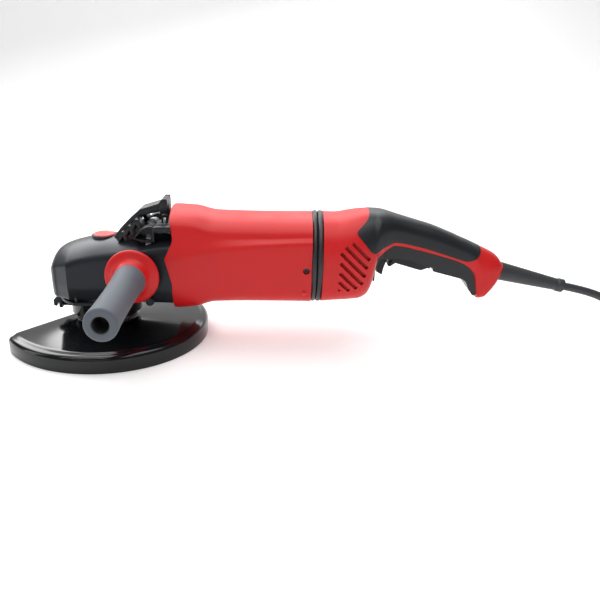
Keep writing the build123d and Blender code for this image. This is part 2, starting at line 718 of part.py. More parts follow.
def trigger():
    px, pz = TRIGGER_PIVOT
    paddle = prism_y([(324.4, -7.5), (326, -3.2), (331, 6.6), (350, 2.5), (370.6, -3), (370.6, -10.2),
                      (367.5, -9.8), (360.4, -12.4), (346, -8.2), (332.4, -4.2), (327, -8.2)], -13, 13)
    edges = paddle.edges().filter_by(Axis.Y, reverse=True).group_by(Axis.Y)
    paddle = rounded(paddle, list(edges[0]) + list(edges[-1]), 1.6)
    stem = prism_y([(333, 5), (352, 1), (352, 9), (333, 13.5)], -8, 8)
    lug = ycyl(4.2, -8, 8, px, pz)
    return (paddle + stem + lug) - ycyl(2.06, -20, 20, px, pz)


def handle_pins():
    return merged([ycyl(2.0, -15.5, 15.5, *TRIGGER_PIVOT), ycyl(1.5, -9, 9, *LOCKOFF_PIVOT)])


def lockoff_lever():
    px, pz = LOCKOFF_PIVOT
    hook = prism_y([(319.6, 4), (313.6, -8), (313.2, -16.6), (319.6, -20.3), (320.8, -13), (322.4, -7.6),
                    (325.2, 0.5)], -4.4, 4.4)
    hub = ycyl(3.6, -4.4, 4.4, px, pz)
    return (hook + hub) - ycyl(1.56, -10, 10, px, pz)


def switch_module():
    return block(333, 362, -8, 8, 18.6, 29)


def electronics_module():
    return block(262.5, 284, -24, 24, -26, 26)


def cord_boot():
    """Tapered strain relief: a ribbed sleeve with a collar at its end."""
    start, end = Vector(444.5, 0, -14.2), BOOT_END
    axis = (end - start).normalized()
    length = (end - start).length
    rz = [(CORD_R + 0.02, 0), (10.3, 0), (10.2, 8), (8.2, length * 0.55), (6.6, length - 6), (7.6, length - 5),
          (7.6, length), (CORD_R + 0.02, length)]
    return Plane(origin=start, z_dir=axis).location * turned_z(rz)


# ---- cord ----
def corner_radii(points):
    """Each corner's tangent arc takes 0.45 of the shorter run beside it."""
    radii = []
    for a, b, c in zip(points, points[1:], points[2:]):
        turn = math.radians((b - a).get_angle(c - b))
        radii.append(0.45 * min((b - a).length, (c - b).length) / math.tan(turn / 2))
    return radii


def cord_tube():
    radii = corner_radii(CORD_POINTS)
    print("cord radii", [round(r, 1) for r in radii])
    path = FilletPolyline(*CORD_POINTS, radius=radii)
    section = Plane(origin=path @ 0, z_dir=path % 0) * Circle(CORD_R)
    tube = sweep(section, path=path)
    print("cord tube length", round(path.length, 1), "volume ratio",
          round(tube.volume / (math.pi * CORD_R ** 2 * path.length), 4))
    return tube


def coil_height():
    return COIL_LAYERS * CORD_D


def cord_coil():
    half = COIL_ACROSS * CORD_R
    outer, inner = COIL_MEAN_R + half, COIL_MEAN_R - half
    return zcyl(outer, FLOOR, FLOOR + coil_height(), COIL_X, COIL_Y) \
        - zcyl(inner, FLOOR - 1, FLOOR + coil_height() + 1, COIL_X, COIL_Y)


PLUG_X, PLUG_Y = COIL_X + 8, COIL_Y - 42
PLUG_Z = FLOOR + COIL_LAYERS * CORD_D + 9.5


def plug_body():
    """Flat two-pin plug lying on the coil, pins towards +X."""
    x, y = PLUG_X, PLUG_Y
    outline = [(x - 26, y - 6), (x - 12, y - 9), (x - 2, y - 18.5), (x + 14, y - 18.5), (x + 14, y + 18.5),
               (x - 2, y + 18.5), (x - 12, y + 9), (x - 26, y + 6)]
    body = prism_z(outline, PLUG_Z - 9, PLUG_Z + 9)
    return rounded(body, body.edges().filter_by(Axis.Z, reverse=True), 2.5)


def plug_pins():
    pins = [xcyl(2.4, PLUG_X + 14, PLUG_X + 33, PLUG_Y + side * 9.5, PLUG_Z) for side in (-1, 1)]
    return merged(pins)


# ---- air deflector ----
def air_deflector():
    """Black plastic cover behind the button that turns the cooling air upwards and forwards."""
    cover = prism_y([(13.8, 16), (25.7, 33), (44.3, 50), (50, 55), (70, 61), (74, 66.5), (79.6, 66.5),
                     (80, 48), (72, 51), (56, 48.5), (46, 44.5), (32, 30), (20, 15)], -13, 13)
    cover = cover + prism_y([(72, 60), (80.5, 60), (80.5, 36), (74, 36)], -13, 13)
    arch = [(-44, 34), (-44, 38.8), (-30, 38.8), (-16, 52), (16, 52), (30, 38.8), (44, 38.8), (44, 34)]
    cover = cover + prism([(80, y, z) for y, z in arch], Vector(7.3, 0, 0))
    for side in (1, -1):
        ledge = block(66, 87.3, *sorted((side * 30, side * 44)), 30, 38.8)
        frame = prism_y([(45, 28.5), (52, 38), (66, 42), (68, 38.8), (68, 25), (45, 25)],
                        *sorted((side * 28, side * 37)))
        cover = cover + ledge + frame
        for k in range(3):
            lug = [(25, 26), (32, 35), (36, 27), (31, 18)]
            lug = [(x + 9 * k, z + 8 * k) for x, z in lug]
            cover = cover + prism_y(lug, *sorted((side * 10, side * 23)))
    return cover - head_outer()


REAR_WHOLE = rear_housing()
BUILDERS = {
    "gear_housing": gear_housing, "bearing_cover": bearing_cover, "gear_case_screws": gear_case_screws,
    "bearing_flange": bearing_flange, "air_deflector": air_deflector,
    "spindle": spindle, "crown_gear": crown_gear, "inner_flange": inner_flange, "clamping_nut": clamping_nut,
    "gear_circlip": circlip, "pinion": pinion,
    "pinion_nut": lambda: Rot(0, 90, 0) * (hex_nut(11, 17.5, 25.5) - zcyl(4, 17, 26)),
    "spindle_lower_bearing": lambda: ball_bearing_z(10, BEARING_R, -60, -48),
    "spindle_upper_bearing": lambda: ball_bearing_z(4.03, 6.0, 0.2, 9.5),
    "spindle_seal": lambda: zcyl(20, -73.4, -69.1) - zcyl(13.06, -75, -60),
    "front_bearing": lambda: ball_bearing_x(6.03, 16, 51, 61),
    "rear_bearing": lambda: ball_bearing_x(4.03, 11, 225, 232),
    "lock_collar": lock_collar, "lock_button": lock_button, "lock_pin": lock_pin, "lock_spring": lock_spring,
    "guard_shell": guard_shell, "guard_band": guard_band, "lever_pin": lever_pin, "guard_lever": guard_lever,
    "side_handle_stud": side_handle_stud, "side_handle_core": side_handle_core,
    "side_handle_grip": side_handle_grip,
    "motor_housing": motor_housing, "armature_shaft": armature_shaft, "armature_core": armature_core,
    "armature_windings": armature_windings, "commutator": commutator, "cooling_fan": fan,
    "stator_core": stator_core, "field_coils": field_coils, "air_baffle": air_baffle,
    "bearing_bracket": bearing_bracket, "brush_holders": brush_holders, "carbon_brushes": brushes,
    "brush_springs": brush_springs,
    "damper_ring_front": lambda: damper_ring(MOTOR_REAR + 0.05, RING_X - 0.5),
    "damper_ring_rear": lambda: damper_ring(RING_X + 0.1, REAR_FRONT - 0.05),
    "coupling_sleeve": coupling_sleeve,
    "rear_housing_left": lambda: rear_half(REAR_WHOLE, 1),
    "rear_housing_right": lambda: rear_half(REAR_WHOLE, -1),
    "soft_grip": soft_grip, "lower_grip": lower_grip, "finger_liner": finger_liner,
    "handle_screws": handle_screws, "switch_module": switch_module, "electronics_module": electronics_module,
    "trigger": trigger, "handle_pins": handle_pins, "lockoff_lever": lockoff_lever,
    "cord_boot": cord_boot, "cord_tube": cord_tube, "cord_coil": cord_coil, "plug_body": plug_body,
    "plug_pins": plug_pins,
}

os.makedirs("parts", exist_ok=True)
for node_name, build in BUILDERS.items():
    save(node_name, build())
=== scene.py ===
import json
import math

import bmesh
import bpy
from mathutils import Matrix, Vector


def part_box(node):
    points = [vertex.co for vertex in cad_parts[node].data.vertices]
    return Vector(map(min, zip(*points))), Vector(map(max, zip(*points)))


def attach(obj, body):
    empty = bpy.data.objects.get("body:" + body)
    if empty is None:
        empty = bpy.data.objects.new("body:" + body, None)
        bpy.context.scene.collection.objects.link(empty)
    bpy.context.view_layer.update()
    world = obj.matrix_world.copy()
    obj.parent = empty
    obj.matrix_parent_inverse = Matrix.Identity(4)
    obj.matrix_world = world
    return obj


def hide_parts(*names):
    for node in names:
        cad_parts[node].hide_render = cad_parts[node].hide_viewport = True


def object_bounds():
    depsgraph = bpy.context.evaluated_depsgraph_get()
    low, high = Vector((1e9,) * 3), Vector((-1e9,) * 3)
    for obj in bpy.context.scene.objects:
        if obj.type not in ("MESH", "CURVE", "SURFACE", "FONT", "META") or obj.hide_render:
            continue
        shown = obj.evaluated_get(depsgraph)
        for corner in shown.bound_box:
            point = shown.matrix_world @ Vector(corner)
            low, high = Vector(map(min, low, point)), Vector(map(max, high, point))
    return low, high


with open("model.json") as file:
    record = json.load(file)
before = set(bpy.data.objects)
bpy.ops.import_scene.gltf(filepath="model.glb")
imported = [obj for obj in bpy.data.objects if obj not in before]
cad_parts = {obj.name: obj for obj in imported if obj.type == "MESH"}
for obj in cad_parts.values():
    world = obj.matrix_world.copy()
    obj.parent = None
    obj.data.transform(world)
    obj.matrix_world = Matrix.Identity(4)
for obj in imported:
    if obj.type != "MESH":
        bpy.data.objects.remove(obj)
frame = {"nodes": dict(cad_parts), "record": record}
CAD_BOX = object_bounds()
NODES = frame["nodes"]

# Shapes are written in millimetres about the motor axis (X, towards the rear handle), with the spindle
# along Z at x = 0. at() turns them into the frame's metres.
MM = 0.001


def middle(node):
    """Centre of a node's box, in the frame's metres."""
    low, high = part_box(node)
    return (low + high) / 2


AXIS_HEIGHT = middle("armature_shaft").z
FLOOR_Z = CAD_BOX[0].z


def at(x, y, z):
    """The frame's point for millimetres about the motor axis."""
    return Vector((x * MM, y * MM, z * MM + AXIS_HEIGHT))


def low_mm(node):
    """Lower corner of a node's box, in millimetres about the motor axis."""
    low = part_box(node)[0]
    return Vector((low.x / MM, low.y / MM, (low.z - AXIS_HEIGHT) / MM))


def high_mm(node):
    """Upper corner of a node's box, in millimetres about the motor axis."""
    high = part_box(node)[1]
    return Vector((high.x / MM, high.y / MM, (high.z - AXIS_HEIGHT) / MM))


# ---- camera ----
def make_camera():
    """Stands to the side of the side handle and above it, looking slightly down."""
    azimuth, elevation, roll = math.radians(5.14), math.radians(22.42), math.radians(-0.88)
    target, distance = Vector((139.8, 0.0, -85.7)), 822.6
    focal = 690.0 / 600
    shift = (0.1265, 0.0397)
    forward = Vector((-math.sin(azimuth) * math.cos(elevation), math.cos(azimuth) * math.cos(elevation),
                      -math.sin(elevation)))
    right = forward.cross(Vector((0, 0, 1))).normalized()
    up = right.cross(forward)
    turned_right = right * math.cos(roll) + up * math.sin(roll)
    turned_up = up * math.cos(roll) - right * math.sin(roll)
    data = bpy.data.cameras.new("camera")
    camera = bpy.data.objects.new("camera", data)
    bpy.context.scene.collection.objects.link(camera)
    place = at(*(target - forward * distance))
    rotation = Matrix((turned_right, turned_up, -forward)).transposed()
    camera.matrix_world = Matrix.Translation(place) @ rotation.to_4x4()
    data.sensor_width = 36.0
    data.lens = focal * data.sensor_width
    data.shift_x, data.shift_y = shift
    data.clip_start, data.clip_end = 0.05, 20.0
    bpy.context.scene.camera = camera


make_camera()


# ---- materials ----
class Nodes:
    """Short forms for building a node tree."""

    def __init__(self, name):
        self.material = bpy.data.materials.new(name)
        self.material.use_nodes = True
        self.tree = self.material.node_tree
        self.shader = self.tree.nodes["Principled BSDF"]
        self.where = self.add("ShaderNodeTexCoord").outputs["Object"]

    def add(self, kind, **settings):
        node = self.tree.nodes.new(kind)
        for key, value in settings.items():
            setattr(node, key, value)
        return node

    def link(self, source, target):
        self.tree.links.new(source, target)

    def stretched(self, scale):
        mapping = self.add("ShaderNodeMapping")
        mapping.inputs["Scale"].default_value = scale
        self.link(self.where, mapping.inputs["Vector"])
        return mapping.outputs["Vector"]

    def noise(self, size, detail=3.0, stretch=None):
        """Noise whose features are about size metres."""
        node = self.add("ShaderNodeTexNoise")
        node.inputs["Scale"].default_value = 1 / size
        node.inputs["Detail"].default_value = detail
        self.link(self.stretched(stretch) if stretch else self.where, node.inputs["Vector"])
        return node.outputs["Fac"]

    def ranged(self, value, low, high, source=(0.3, 0.7)):
        node = self.add("ShaderNodeMapRange")
        node.inputs["From Min"].default_value, node.inputs["From Max"].default_value = source
        node.inputs["To Min"].default_value, node.inputs["To Max"].default_value = low, high
        self.link(value, node.inputs["Value"])
        return node.outputs["Result"]

    def mixed(self, factor, first, second):
        node = self.add("ShaderNodeMix", data_type="RGBA")
        for value, socket in ((first, node.inputs[6]), (second, node.inputs[7])):
            if isinstance(value, bpy.types.NodeSocket):
                self.link(value, socket)
            else:
                socket.default_value = (*value, 1)
        self.link(factor, node.inputs[0])
        return node.outputs[2]


def shaded(colour, share):
    """The colour made lighter or darker."""
    return tuple(min(1.0, c * share) for c in colour)


def finish(name, colour, roughness, metallic=0.0, coat=0.0, grain=0.0005, depth=0.00003, mottle=0.08,
           spread=0.08, edge=0.0004, stretch=None, specular=0.5):
    """A moulded, cast, painted or machined surface: mottled colour, uneven gloss, fine grain and soft edges."""
    n = Nodes(name)
    cloud = n.noise(0.03, 4.0)
    base = n.mixed(n.ranged(cloud, 0.0, 1.0), shaded(colour, 1 - mottle), shaded(colour, 1 + mottle))
    fine = n.noise(grain, 3.0, stretch)
    base = n.mixed(n.ranged(fine, 0.0, 0.18), base, shaded(colour, 1.5))
    n.link(base, n.shader.inputs["Base Color"])
    gloss = n.add("ShaderNodeMath", operation="ADD")
    n.link(n.ranged(cloud, roughness - spread / 2, roughness + spread / 2), gloss.inputs[0])
    n.link(n.ranged(fine, -spread / 4, spread / 4), gloss.inputs[1])
    n.link(gloss.outputs[0], n.shader.inputs["Roughness"])
    bump = n.add("ShaderNodeBump")
    bump.inputs["Strength"].default_value = 0.6
    bump.inputs["Distance"].default_value = depth
    n.link(fine, bump.inputs["Height"])
    if edge:
        bevel = n.add("ShaderNodeBevel", samples=4)
        bevel.inputs["Radius"].default_value = edge
        n.link(bevel.outputs["Normal"], bump.inputs["Normal"])
    n.link(bump.outputs["Normal"], n.shader.inputs["Normal"])
    n.shader.inputs["Metallic"].default_value = metallic
    n.shader.inputs["Specular IOR Level"].default_value = specular
    n.shader.inputs["Coat Weight"].default_value = coat
    n.shader.inputs["Coat Roughness"].default_value = 0.12
    return n.material


TURNED = (1, 1, 9)
MATERIALS = {
    "head_metal": finish("head_metal", (0.017, 0.02, 0.025), 0.34, metallic=0.3, coat=0.0, grain=0.0007,
                         depth=0.00004, spread=0.08, specular=0.22),
    "cast_aluminium": finish("cast_aluminium", (0.6, 0.61, 0.63), 0.45, metallic=0.9, grain=0.0012,
                             depth=0.0001),
    "screw_steel": finish("screw_steel", (0.035, 0.035, 0.037), 0.36, metallic=0.8, grain=0.0003),
    "black_plastic": finish("black_plastic", (0.01, 0.0115, 0.014), 0.34, grain=0.0005, depth=0.00003,
                            specular=0.4),
    "steel": finish("steel", (0.55, 0.55, 0.56), 0.26, metallic=1.0, grain=0.0004, stretch=TURNED),
    "gear_steel": finish("gear_steel", (0.4, 0.4, 0.41), 0.34, metallic=1.0, grain=0.0005),
    "bearing_steel": finish("bearing_steel", (0.62, 0.62, 0.64), 0.16, metallic=1.0, grain=0.0003),
    "seal_rubber": finish("seal_rubber", (0.03, 0.03, 0.03), 0.7, grain=0.0006),
    "red_button": finish("red_button", (0.72, 0.03, 0.025), 0.3, coat=0.2, grain=0.0005, mottle=0.05),
    "spring_steel": finish("spring_steel", (0.42, 0.42, 0.43), 0.3, metallic=1.0, edge=0.0),
    "guard_paint": finish("guard_paint", (0.004, 0.0045, 0.0055), 0.11, coat=0.1, grain=0.0016, depth=0.000012,
                          spread=0.04, specular=0.3),
    "red_plastic": finish("red_plastic", (0.58, 0.0092, 0.0105), 0.42, coat=0.0, specular=0.35, grain=0.00045,
                          depth=0.00002, mottle=0.04, spread=0.07, edge=0.0006),
    "grey_rubber": finish("grey_rubber", (0.1, 0.115, 0.135), 0.6, specular=0.3, grain=0.0006, depth=0.00007,
                          mottle=0.07),
    "lamination_steel": finish("lamination_steel", (0.25, 0.25, 0.26), 0.5, metallic=0.9, grain=0.0005,
                               stretch=(9, 1, 1)),
    "copper_wire": finish("copper_wire", (0.55, 0.2, 0.07), 0.3, metallic=0.9, grain=0.0007, depth=0.0003,
                          stretch=(1, 4, 4)),
    "copper_bars": finish("copper_bars", (0.7, 0.36, 0.18), 0.3, metallic=1.0, grain=0.0005),
    "fan_plastic": finish("fan_plastic", (0.035, 0.035, 0.04), 0.55, grain=0.0005),
    "brass": finish("brass", (0.68, 0.5, 0.2), 0.3, metallic=1.0, grain=0.0005),
    "carbon": finish("carbon", (0.03, 0.03, 0.03), 0.6, grain=0.0003),
    "damper_rubber": finish("damper_rubber", (0.018, 0.019, 0.022), 0.42, grain=0.0005, edge=0.0003),
    "black_soft_grip": finish("black_soft_grip", (0.01, 0.012, 0.015), 0.4, specular=0.35, grain=0.0006,
                              depth=0.00005, spread=0.1, mottle=0.1),
    "grey_plastic": finish("grey_plastic", (0.022, 0.026, 0.03), 0.45, grain=0.0005),
    "module_plastic": finish("module_plastic", (0.03, 0.03, 0.035), 0.5, grain=0.0006),
    "trigger_plastic": finish("trigger_plastic", (0.01, 0.011, 0.013), 0.42, grain=0.0005, specular=0.35),
    "cord_rubber": finish("cord_rubber", (0.03, 0.032, 0.036), 0.52, grain=0.0006, depth=0.00004, edge=0.0),
    "plug_plastic": finish("plug_plastic", (0.022, 0.023, 0.026), 0.5, grain=0.0006, depth=0.00005),
    "nickel": finish("nickel", (0.7, 0.7, 0.67), 0.2, metallic=1.0, grain=0.0004),
}


def dress(piece, slot):
    """Gives a piece its only material, the one for the slot."""
    piece.data.materials.clear()
    piece.data.materials.append(MATERIALS[slot])


for part in frame["record"]["subparts"]:
    material = MATERIALS[part["material_slot"]]
    mesh = NODES[part["node"]].data
    if mesh.materials:
        for i in range(len(mesh.materials)):
            mesh.materials[i] = material
    else:
        mesh.materials.append(material)


# ---- outlines ----
def lerp(a, b, t):
    """From a to b as t goes from 0 to 1."""
    return a + (b - a) * t


def softened(points, radius, steps=4, closed=True):
    """A 2-D outline with each corner rounded by up to radius."""
    pts = [Vector(p) for p in points]
    made = []
    count = len(pts)
    for i, p in enumerate(pts):
        if not closed and i in (0, count - 1):
            made.append(tuple(p))
            continue
        before, after = pts[i - 1] - p, pts[(i + 1) % count] - p
        reach = min(radius, before.length * 0.45, after.length * 0.45)
        start, end = p + before.normalized() * reach, p + after.normalized() * reach
        for k in range(steps + 1):
            t = k / steps
            made.append(tuple(start * (1 - t) ** 2 + p * 2 * t * (1 - t) + end * t * t))
    return made


def eased(table, x):
    """Smooth interpolation in rows of (x, values...), without overshoot."""
    if x <= table[0][0]:
        return table[0][1:]
    if x >= table[-1][0]:
        return table[-1][1:]
    k = max(i for i in range(len(table) - 1) if table[i][0] <= x)
    width = table[k + 1][0] - table[k][0]
    t = (x - table[k][0]) / width

    def slope(i, column):
        if i in (0, len(table) - 1):
            return 0.0
        back = (table[i][column] - table[i - 1][column]) / (table[i][0] - table[i - 1][0])
        ahead = (table[i + 1][column] - table[i][column]) / (table[i + 1][0] - table[i][0])
        return 0.0 if back * ahead <= 0 else 2 * back * ahead / (back + ahead)

    values = []
    for column in range(1, len(table[0])):
        a, b = table[k][column], table[k + 1][column]
        ma, mb = slope(k, column) * width, slope(k + 1, column) * width
        values.append(a * (2 * t ** 3 - 3 * t * t + 1) + ma * (t ** 3 - 2 * t * t + t)
                      + b * (3 * t * t - 2 * t ** 3) + mb * (t ** 3 - t * t))
    return tuple(values)


# ---- meshes ----
def new_object(name, bm, sharp=32):
    """Links a finished bmesh as an object, smooth except across edges sharper than the angle."""
    bmesh.ops.recalc_face_normals(bm, faces=bm.faces)
    limit = math.radians(sharp)
    for face in bm.faces:
        face.smooth = True
    for edge in bm.edges:
        edge.smooth = len(edge.link_faces) == 2 and edge.calc_face_angle(0) < limit
    data = bpy.data.meshes.new(name)
    bm.to_mesh(data)
    bm.free()
    made = bpy.data.objects.new(name, data)
    bpy.context.scene.collection.objects.link(made)
    return made


def skinned(rings):
    """Closed bmesh through rings of points in millimetres, with a fan over each end."""
    bm = bmesh.new()
    rows = [[bm.verts.new(at(*p)) for p in ring] for ring in rings]
    for a, b in zip(rows, rows[1:]):
        for i in range(len(a)):
            j = (i + 1) % len(a)
            bm.faces.new((a[i], a[j], b[j], b[i]))
    for row in (rows[0], rows[-1]):
        centre = bm.verts.new(sum((v.co for v in row), Vector()) / len(row))
        for i in range(len(row)):
            bm.faces.new((centre, row[i], row[(i + 1) % len(row)]))
    return bm


AXES = {"x": (Vector((1, 0, 0)), Vector((0, 1, 0)), Vector((0, 0, 1))),
        "y": (Vector((0, 1, 0)), Vector((0, 0, 1)), Vector((1, 0, 0))),
        "z": (Vector((0, 0, 1)), Vector((1, 0, 0)), Vector((0, 1, 0)))}


def turned(name, profile, axis, centre=(0, 0, 0), steps=96, sharp=32):
    """Solid of revolution from a closed profile of (along, radius) points; off the axis it makes a ring."""
    along, first, second = AXES[axis] if isinstance(axis, str) else axis
    rings = []
    for i in range(steps):
        a = math.radians(360 * i / steps)
        outward = first * math.cos(a) + second * math.sin(a)
        rings.append([Vector(centre) + along * d + outward * r for d, r in profile])
    bm = bmesh.new()
    rows = [[bm.verts.new(at(*p)) for p in ring] for ring in rings]
    for a, b in zip(rows, rows[1:] + rows[:1]):
        for i in range(len(a)):
            j = (i + 1) % len(a)
            bm.faces.new((a[i], b[i], b[j], a[j]))
    bmesh.ops.remove_doubles(bm, verts=bm.verts, dist=1e-6)
    bmesh.ops.dissolve_degenerate(bm, edges=bm.edges, dist=1e-7)
    return new_object(name, bm, sharp)


def bevelled(piece, width, segments=2, angle=35):
    """Rounds the piece's sharp edges by width millimetres."""
    modifier = piece.modifiers.new("bevel", "BEVEL")
    modifier.width = width * MM
    modifier.segments = segments
    modifier.limit_method = "ANGLE"
    modifier.angle_limit = math.radians(angle)
    return piece


def prism(name, outline, axis, low, high, bevel=0.6, sharp=32):
    """Straight-sided piece from a 2-D outline: (x, z) along y, (x, y) along z or (y, z) along x."""
    places = {"y": lambda p, d: (p[0], d, p[1]), "z": lambda p, d: (p[0], p[1], d),
              "x": lambda p, d: (d, p[0], p[1])}[axis]
    bm = bmesh.new()
    rows = [[bm.verts.new(at(*places(p, d))) for p in outline] for d in (low, high)]
    count = len(outline)
    for i in range(count):
        j = (i + 1) % count
        bm.faces.new((rows[0][i], rows[0][j], rows[1][j], rows[1][i]))
    for row in rows:
        bmesh.ops.triangulate(bm, faces=[bm.faces.new(row)])
    made = new_object(name, bm, sharp)
    return bevelled(made, bevel) if bevel else made


def applied(piece):
    """Bakes the piece's modifiers into its mesh."""
    graph = bpy.context.evaluated_depsgraph_get()
    data = bpy.data.meshes.new_from_object(piece.evaluated_get(graph))
    old = piece.data
    piece.modifiers.clear()
    piece.data = data
    bpy.data.meshes.remove(old)
    return piece


def carved(piece, tools, operation="DIFFERENCE"):
    """Cuts each tool away, or keeps the overlap with it, and removes the tools."""
    for tool in tools:
        modifier = piece.modifiers.new("carve", "BOOLEAN")
        modifier.operation = operation
        modifier.object = tool
        modifier.solver = "MANIFOLD"
    bpy.context.view_layer.update()
    applied(piece)
    for tool in tools:
        bpy.data.objects.remove(tool)
    return piece


def creased(piece, sharp=32):
    """Marks the edges that are sharper than the angle, after a cut."""
    bm = bmesh.new()
    bm.from_mesh(piece.data)
    for face in bm.faces:
        face.smooth = True
    for edge in bm.edges:
        edge.smooth = len(edge.link_faces) == 2 and edge.calc_face_angle(0) < math.radians(sharp)
    bm.to_mesh(piece.data)
    bm.free()
    return piece


def joined(name, pieces):
    """One object from several, with their modifiers applied."""
    bm = bmesh.new()
    for piece in pieces:
        applied(piece)
        bm.from_mesh(piece.data)
        bpy.data.objects.remove(piece)
    data = bpy.data.meshes.new(name)
    bm.to_mesh(data)
    bm.free()
    made = bpy.data.objects.new(name, data)
    bpy.context.scene.collection.objects.link(made)
    return made


def placed(piece, body, slot, *nodes):
    """Dresses the piece and sets it on its body in place of the CAD nodes it stands for."""
    dress(piece, slot)
    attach(piece, body)
    if nodes:
        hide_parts(*nodes)
    return piece


# ---- cord ----
CORD_D = 8.8
BOOT_START, BOOT_END = Vector((444.5, 0, -14.2)), Vector((519.5, 0, -32.0))
CORD_POINTS = [BOOT_END, (543, -0.5, -36.5), (567, -2, -45), (589, -5, -60), (610, -9, -77), (633, -14, -89.5),
               (662, -19.5, -92.7)]
COIL_X, COIL_Y, COIL_MEAN_R = 664.0, 37.0, 48.0
COIL_ACROSS, COIL_LAYERS = 3, 4
TURN_POINTS = 16


def coil_points():
    """Each layer is a flat spiral, wound inwards and outwards in turn, a diameter above the last."""
    floor = (FLOOR_Z - AXIS_HEIGHT) / MM
    outer = COIL_MEAN_R + (COIL_ACROSS - 1) / 2 * CORD_D
    inner = COIL_MEAN_R - (COIL_ACROSS - 1) / 2 * CORD_D
    made = []
    per_layer = COIL_ACROSS * TURN_POINTS
    for layer in range(COIL_LAYERS):
        inward = layer % 2 == 0
        for k in range(per_layer):
            share = k / (per_layer - 1)
            held = min(1.0, max(0.0, (share * COIL_ACROSS - 0.5) / (COIL_ACROSS - 1)))
            r = lerp(outer, inner, held) if inward else lerp(inner, outer, held)
            height = layer + (0.0 if k < per_layer - 3 or layer == COIL_LAYERS - 1 else (k - per_layer + 4) / 4)
            a = math.radians(-90 + 360 / TURN_POINTS * (layer * per_layer + k + 1))
            made.append((COIL_X + r * math.cos(a), COIL_Y + r * math.sin(a), floor + CORD_D * (height + 0.5)))
    return made


PLUG_X, PLUG_Y = COIL_X + 8, COIL_Y - 42
PLUG_Z = (FLOOR_Z - AXIS_HEIGHT) / MM + COIL_LAYERS * CORD_D + 9.5


def tail_points():
    """From the top layer's last turn round and in, over the coil and into the plug's sleeve."""
    top = (FLOOR_Z - AXIS_HEIGHT) / MM + CORD_D * (COIL_LAYERS - 0.5)
    made = []
    for k, a in enumerate(range(-68, 164, 22)):
        share = (k + 1) / 11
        r = lerp(COIL_MEAN_R + CORD_D, COIL_MEAN_R - 5, share)
        lift = min(1.0, share * 1.6)
        made.append((COIL_X + r * math.cos(math.radians(a)), COIL_Y + r * math.sin(math.radians(a)),
                     lerp(top, PLUG_Z, lift)))
    return made


def make_cord():
    """The whole lead as one smooth curve: the hanging run, the coil, and the end into the plug."""
    points = [Vector(p) for p in CORD_POINTS] + [Vector(p) for p in coil_points()]
    points += [Vector(p) for p in tail_points()]
    points += [Vector((PLUG_X - 52, PLUG_Y + 20, PLUG_Z)), Vector((PLUG_X - 44, PLUG_Y + 3, PLUG_Z)),
               Vector((PLUG_X - 26, PLUG_Y, PLUG_Z))]
    data = bpy.data.curves.new("mains_cord", "CURVE")
    data.dimensions = "3D"
    spline = data.splines.new("NURBS")
    spline.points.add(len(points) - 1)
    for point, p in zip(spline.points, points):
        point.co = (*at(*p), 1)
    spline.order_u = 3
    spline.use_endpoint_u = True
    spline.resolution_u = 8
    data.bevel_depth = CORD_D / 2 * MM
    data.bevel_resolution = 6
    data.use_fill_caps = True
    cord = bpy.data.objects.new("mains_cord", data)
    bpy.context.scene.collection.objects.link(cord)
    return placed(cord, "tool", "cord_rubber", "cord_tube", "cord_coil")


CORD = make_cord()


def make_boot():
    """Tapered strain relief with shallow rings and a collar at its end."""
    along = (BOOT_END - BOOT_START).normalized()
    length = (BOOT_END - BOOT_START).length
    side = Vector((0, 1, 0))
    frame_axes = (along, side, along.cross(side))
    outer = [(0, 9.9), (6, 10.1), (9, 9.9), (length * 0.55, 8.1), (length - 7.5, 6.6)]
    outline = softened([(0, CORD_D / 2), *outer, (length - 6.5, 7.5), (length - 0.4, 7.5), (length, 7.1),
                        (length, CORD_D / 2)], 1.2)
    return placed(turned("cord_boot_skin", outline, frame_axes, BOOT_START, steps=64), "tool", "cord_rubber",
                  "cord_boot")


def make_plug():
    """Flat moulded two-pin plug: a waisted body with finger ridges and a sleeve for the cord."""
    outline = [(-14, 9), (-4, 17.8), (13.5, 17.8), (13.5, -17.8), (-4, -17.8), (-14, -9)]
    rings = []
    body = softened([(x, y) for x, y in outline], 4, steps=5)
    for share, z in ((0.72, -8.9), (0.9, -8.2), (0.985, -6.2), (1.0, -3), (1.0, 3), (0.985, 6.2), (0.9, 8.2),
                     (0.72, 8.9)):
        rings.append([(PLUG_X + x * (1 if x > 0 else share) - (1 - share) * 2 * (x > 0), PLUG_Y + y * share,
                       PLUG_Z + z) for x, y in body])
    shell = new_object("plug_shell", skinned(rings), 40)
    neck = softened([(-26, CORD_D / 2), (-26, 6), (-18, 6.6), (-8, 9), (0, 9), (0, 4.4)], 0.8)
    sleeve = turned("plug_sleeve", neck, "x", (PLUG_X, PLUG_Y, PLUG_Z), steps=40)
    ridges = []
    for side in (-1, 1):
        for k in range(4):
            x, low, high = PLUG_X - 4 + 3.4 * k, side * 17.2 + PLUG_Y, side * 18.4 + PLUG_Y
            ridge = softened([(x, low), (x + 1.6, low), (x + 1.6, high), (x, high)], 0.3)
            ridges.append(prism(f"plug_ridge_{side}_{k}", ridge, "z", PLUG_Z - 5, PLUG_Z + 5, 0.3))
    return placed(joined("plug_case", [shell, sleeve, *ridges]), "tool", "plug_plastic", "plug_body")


BOOT = make_boot()
PLUG = make_plug()


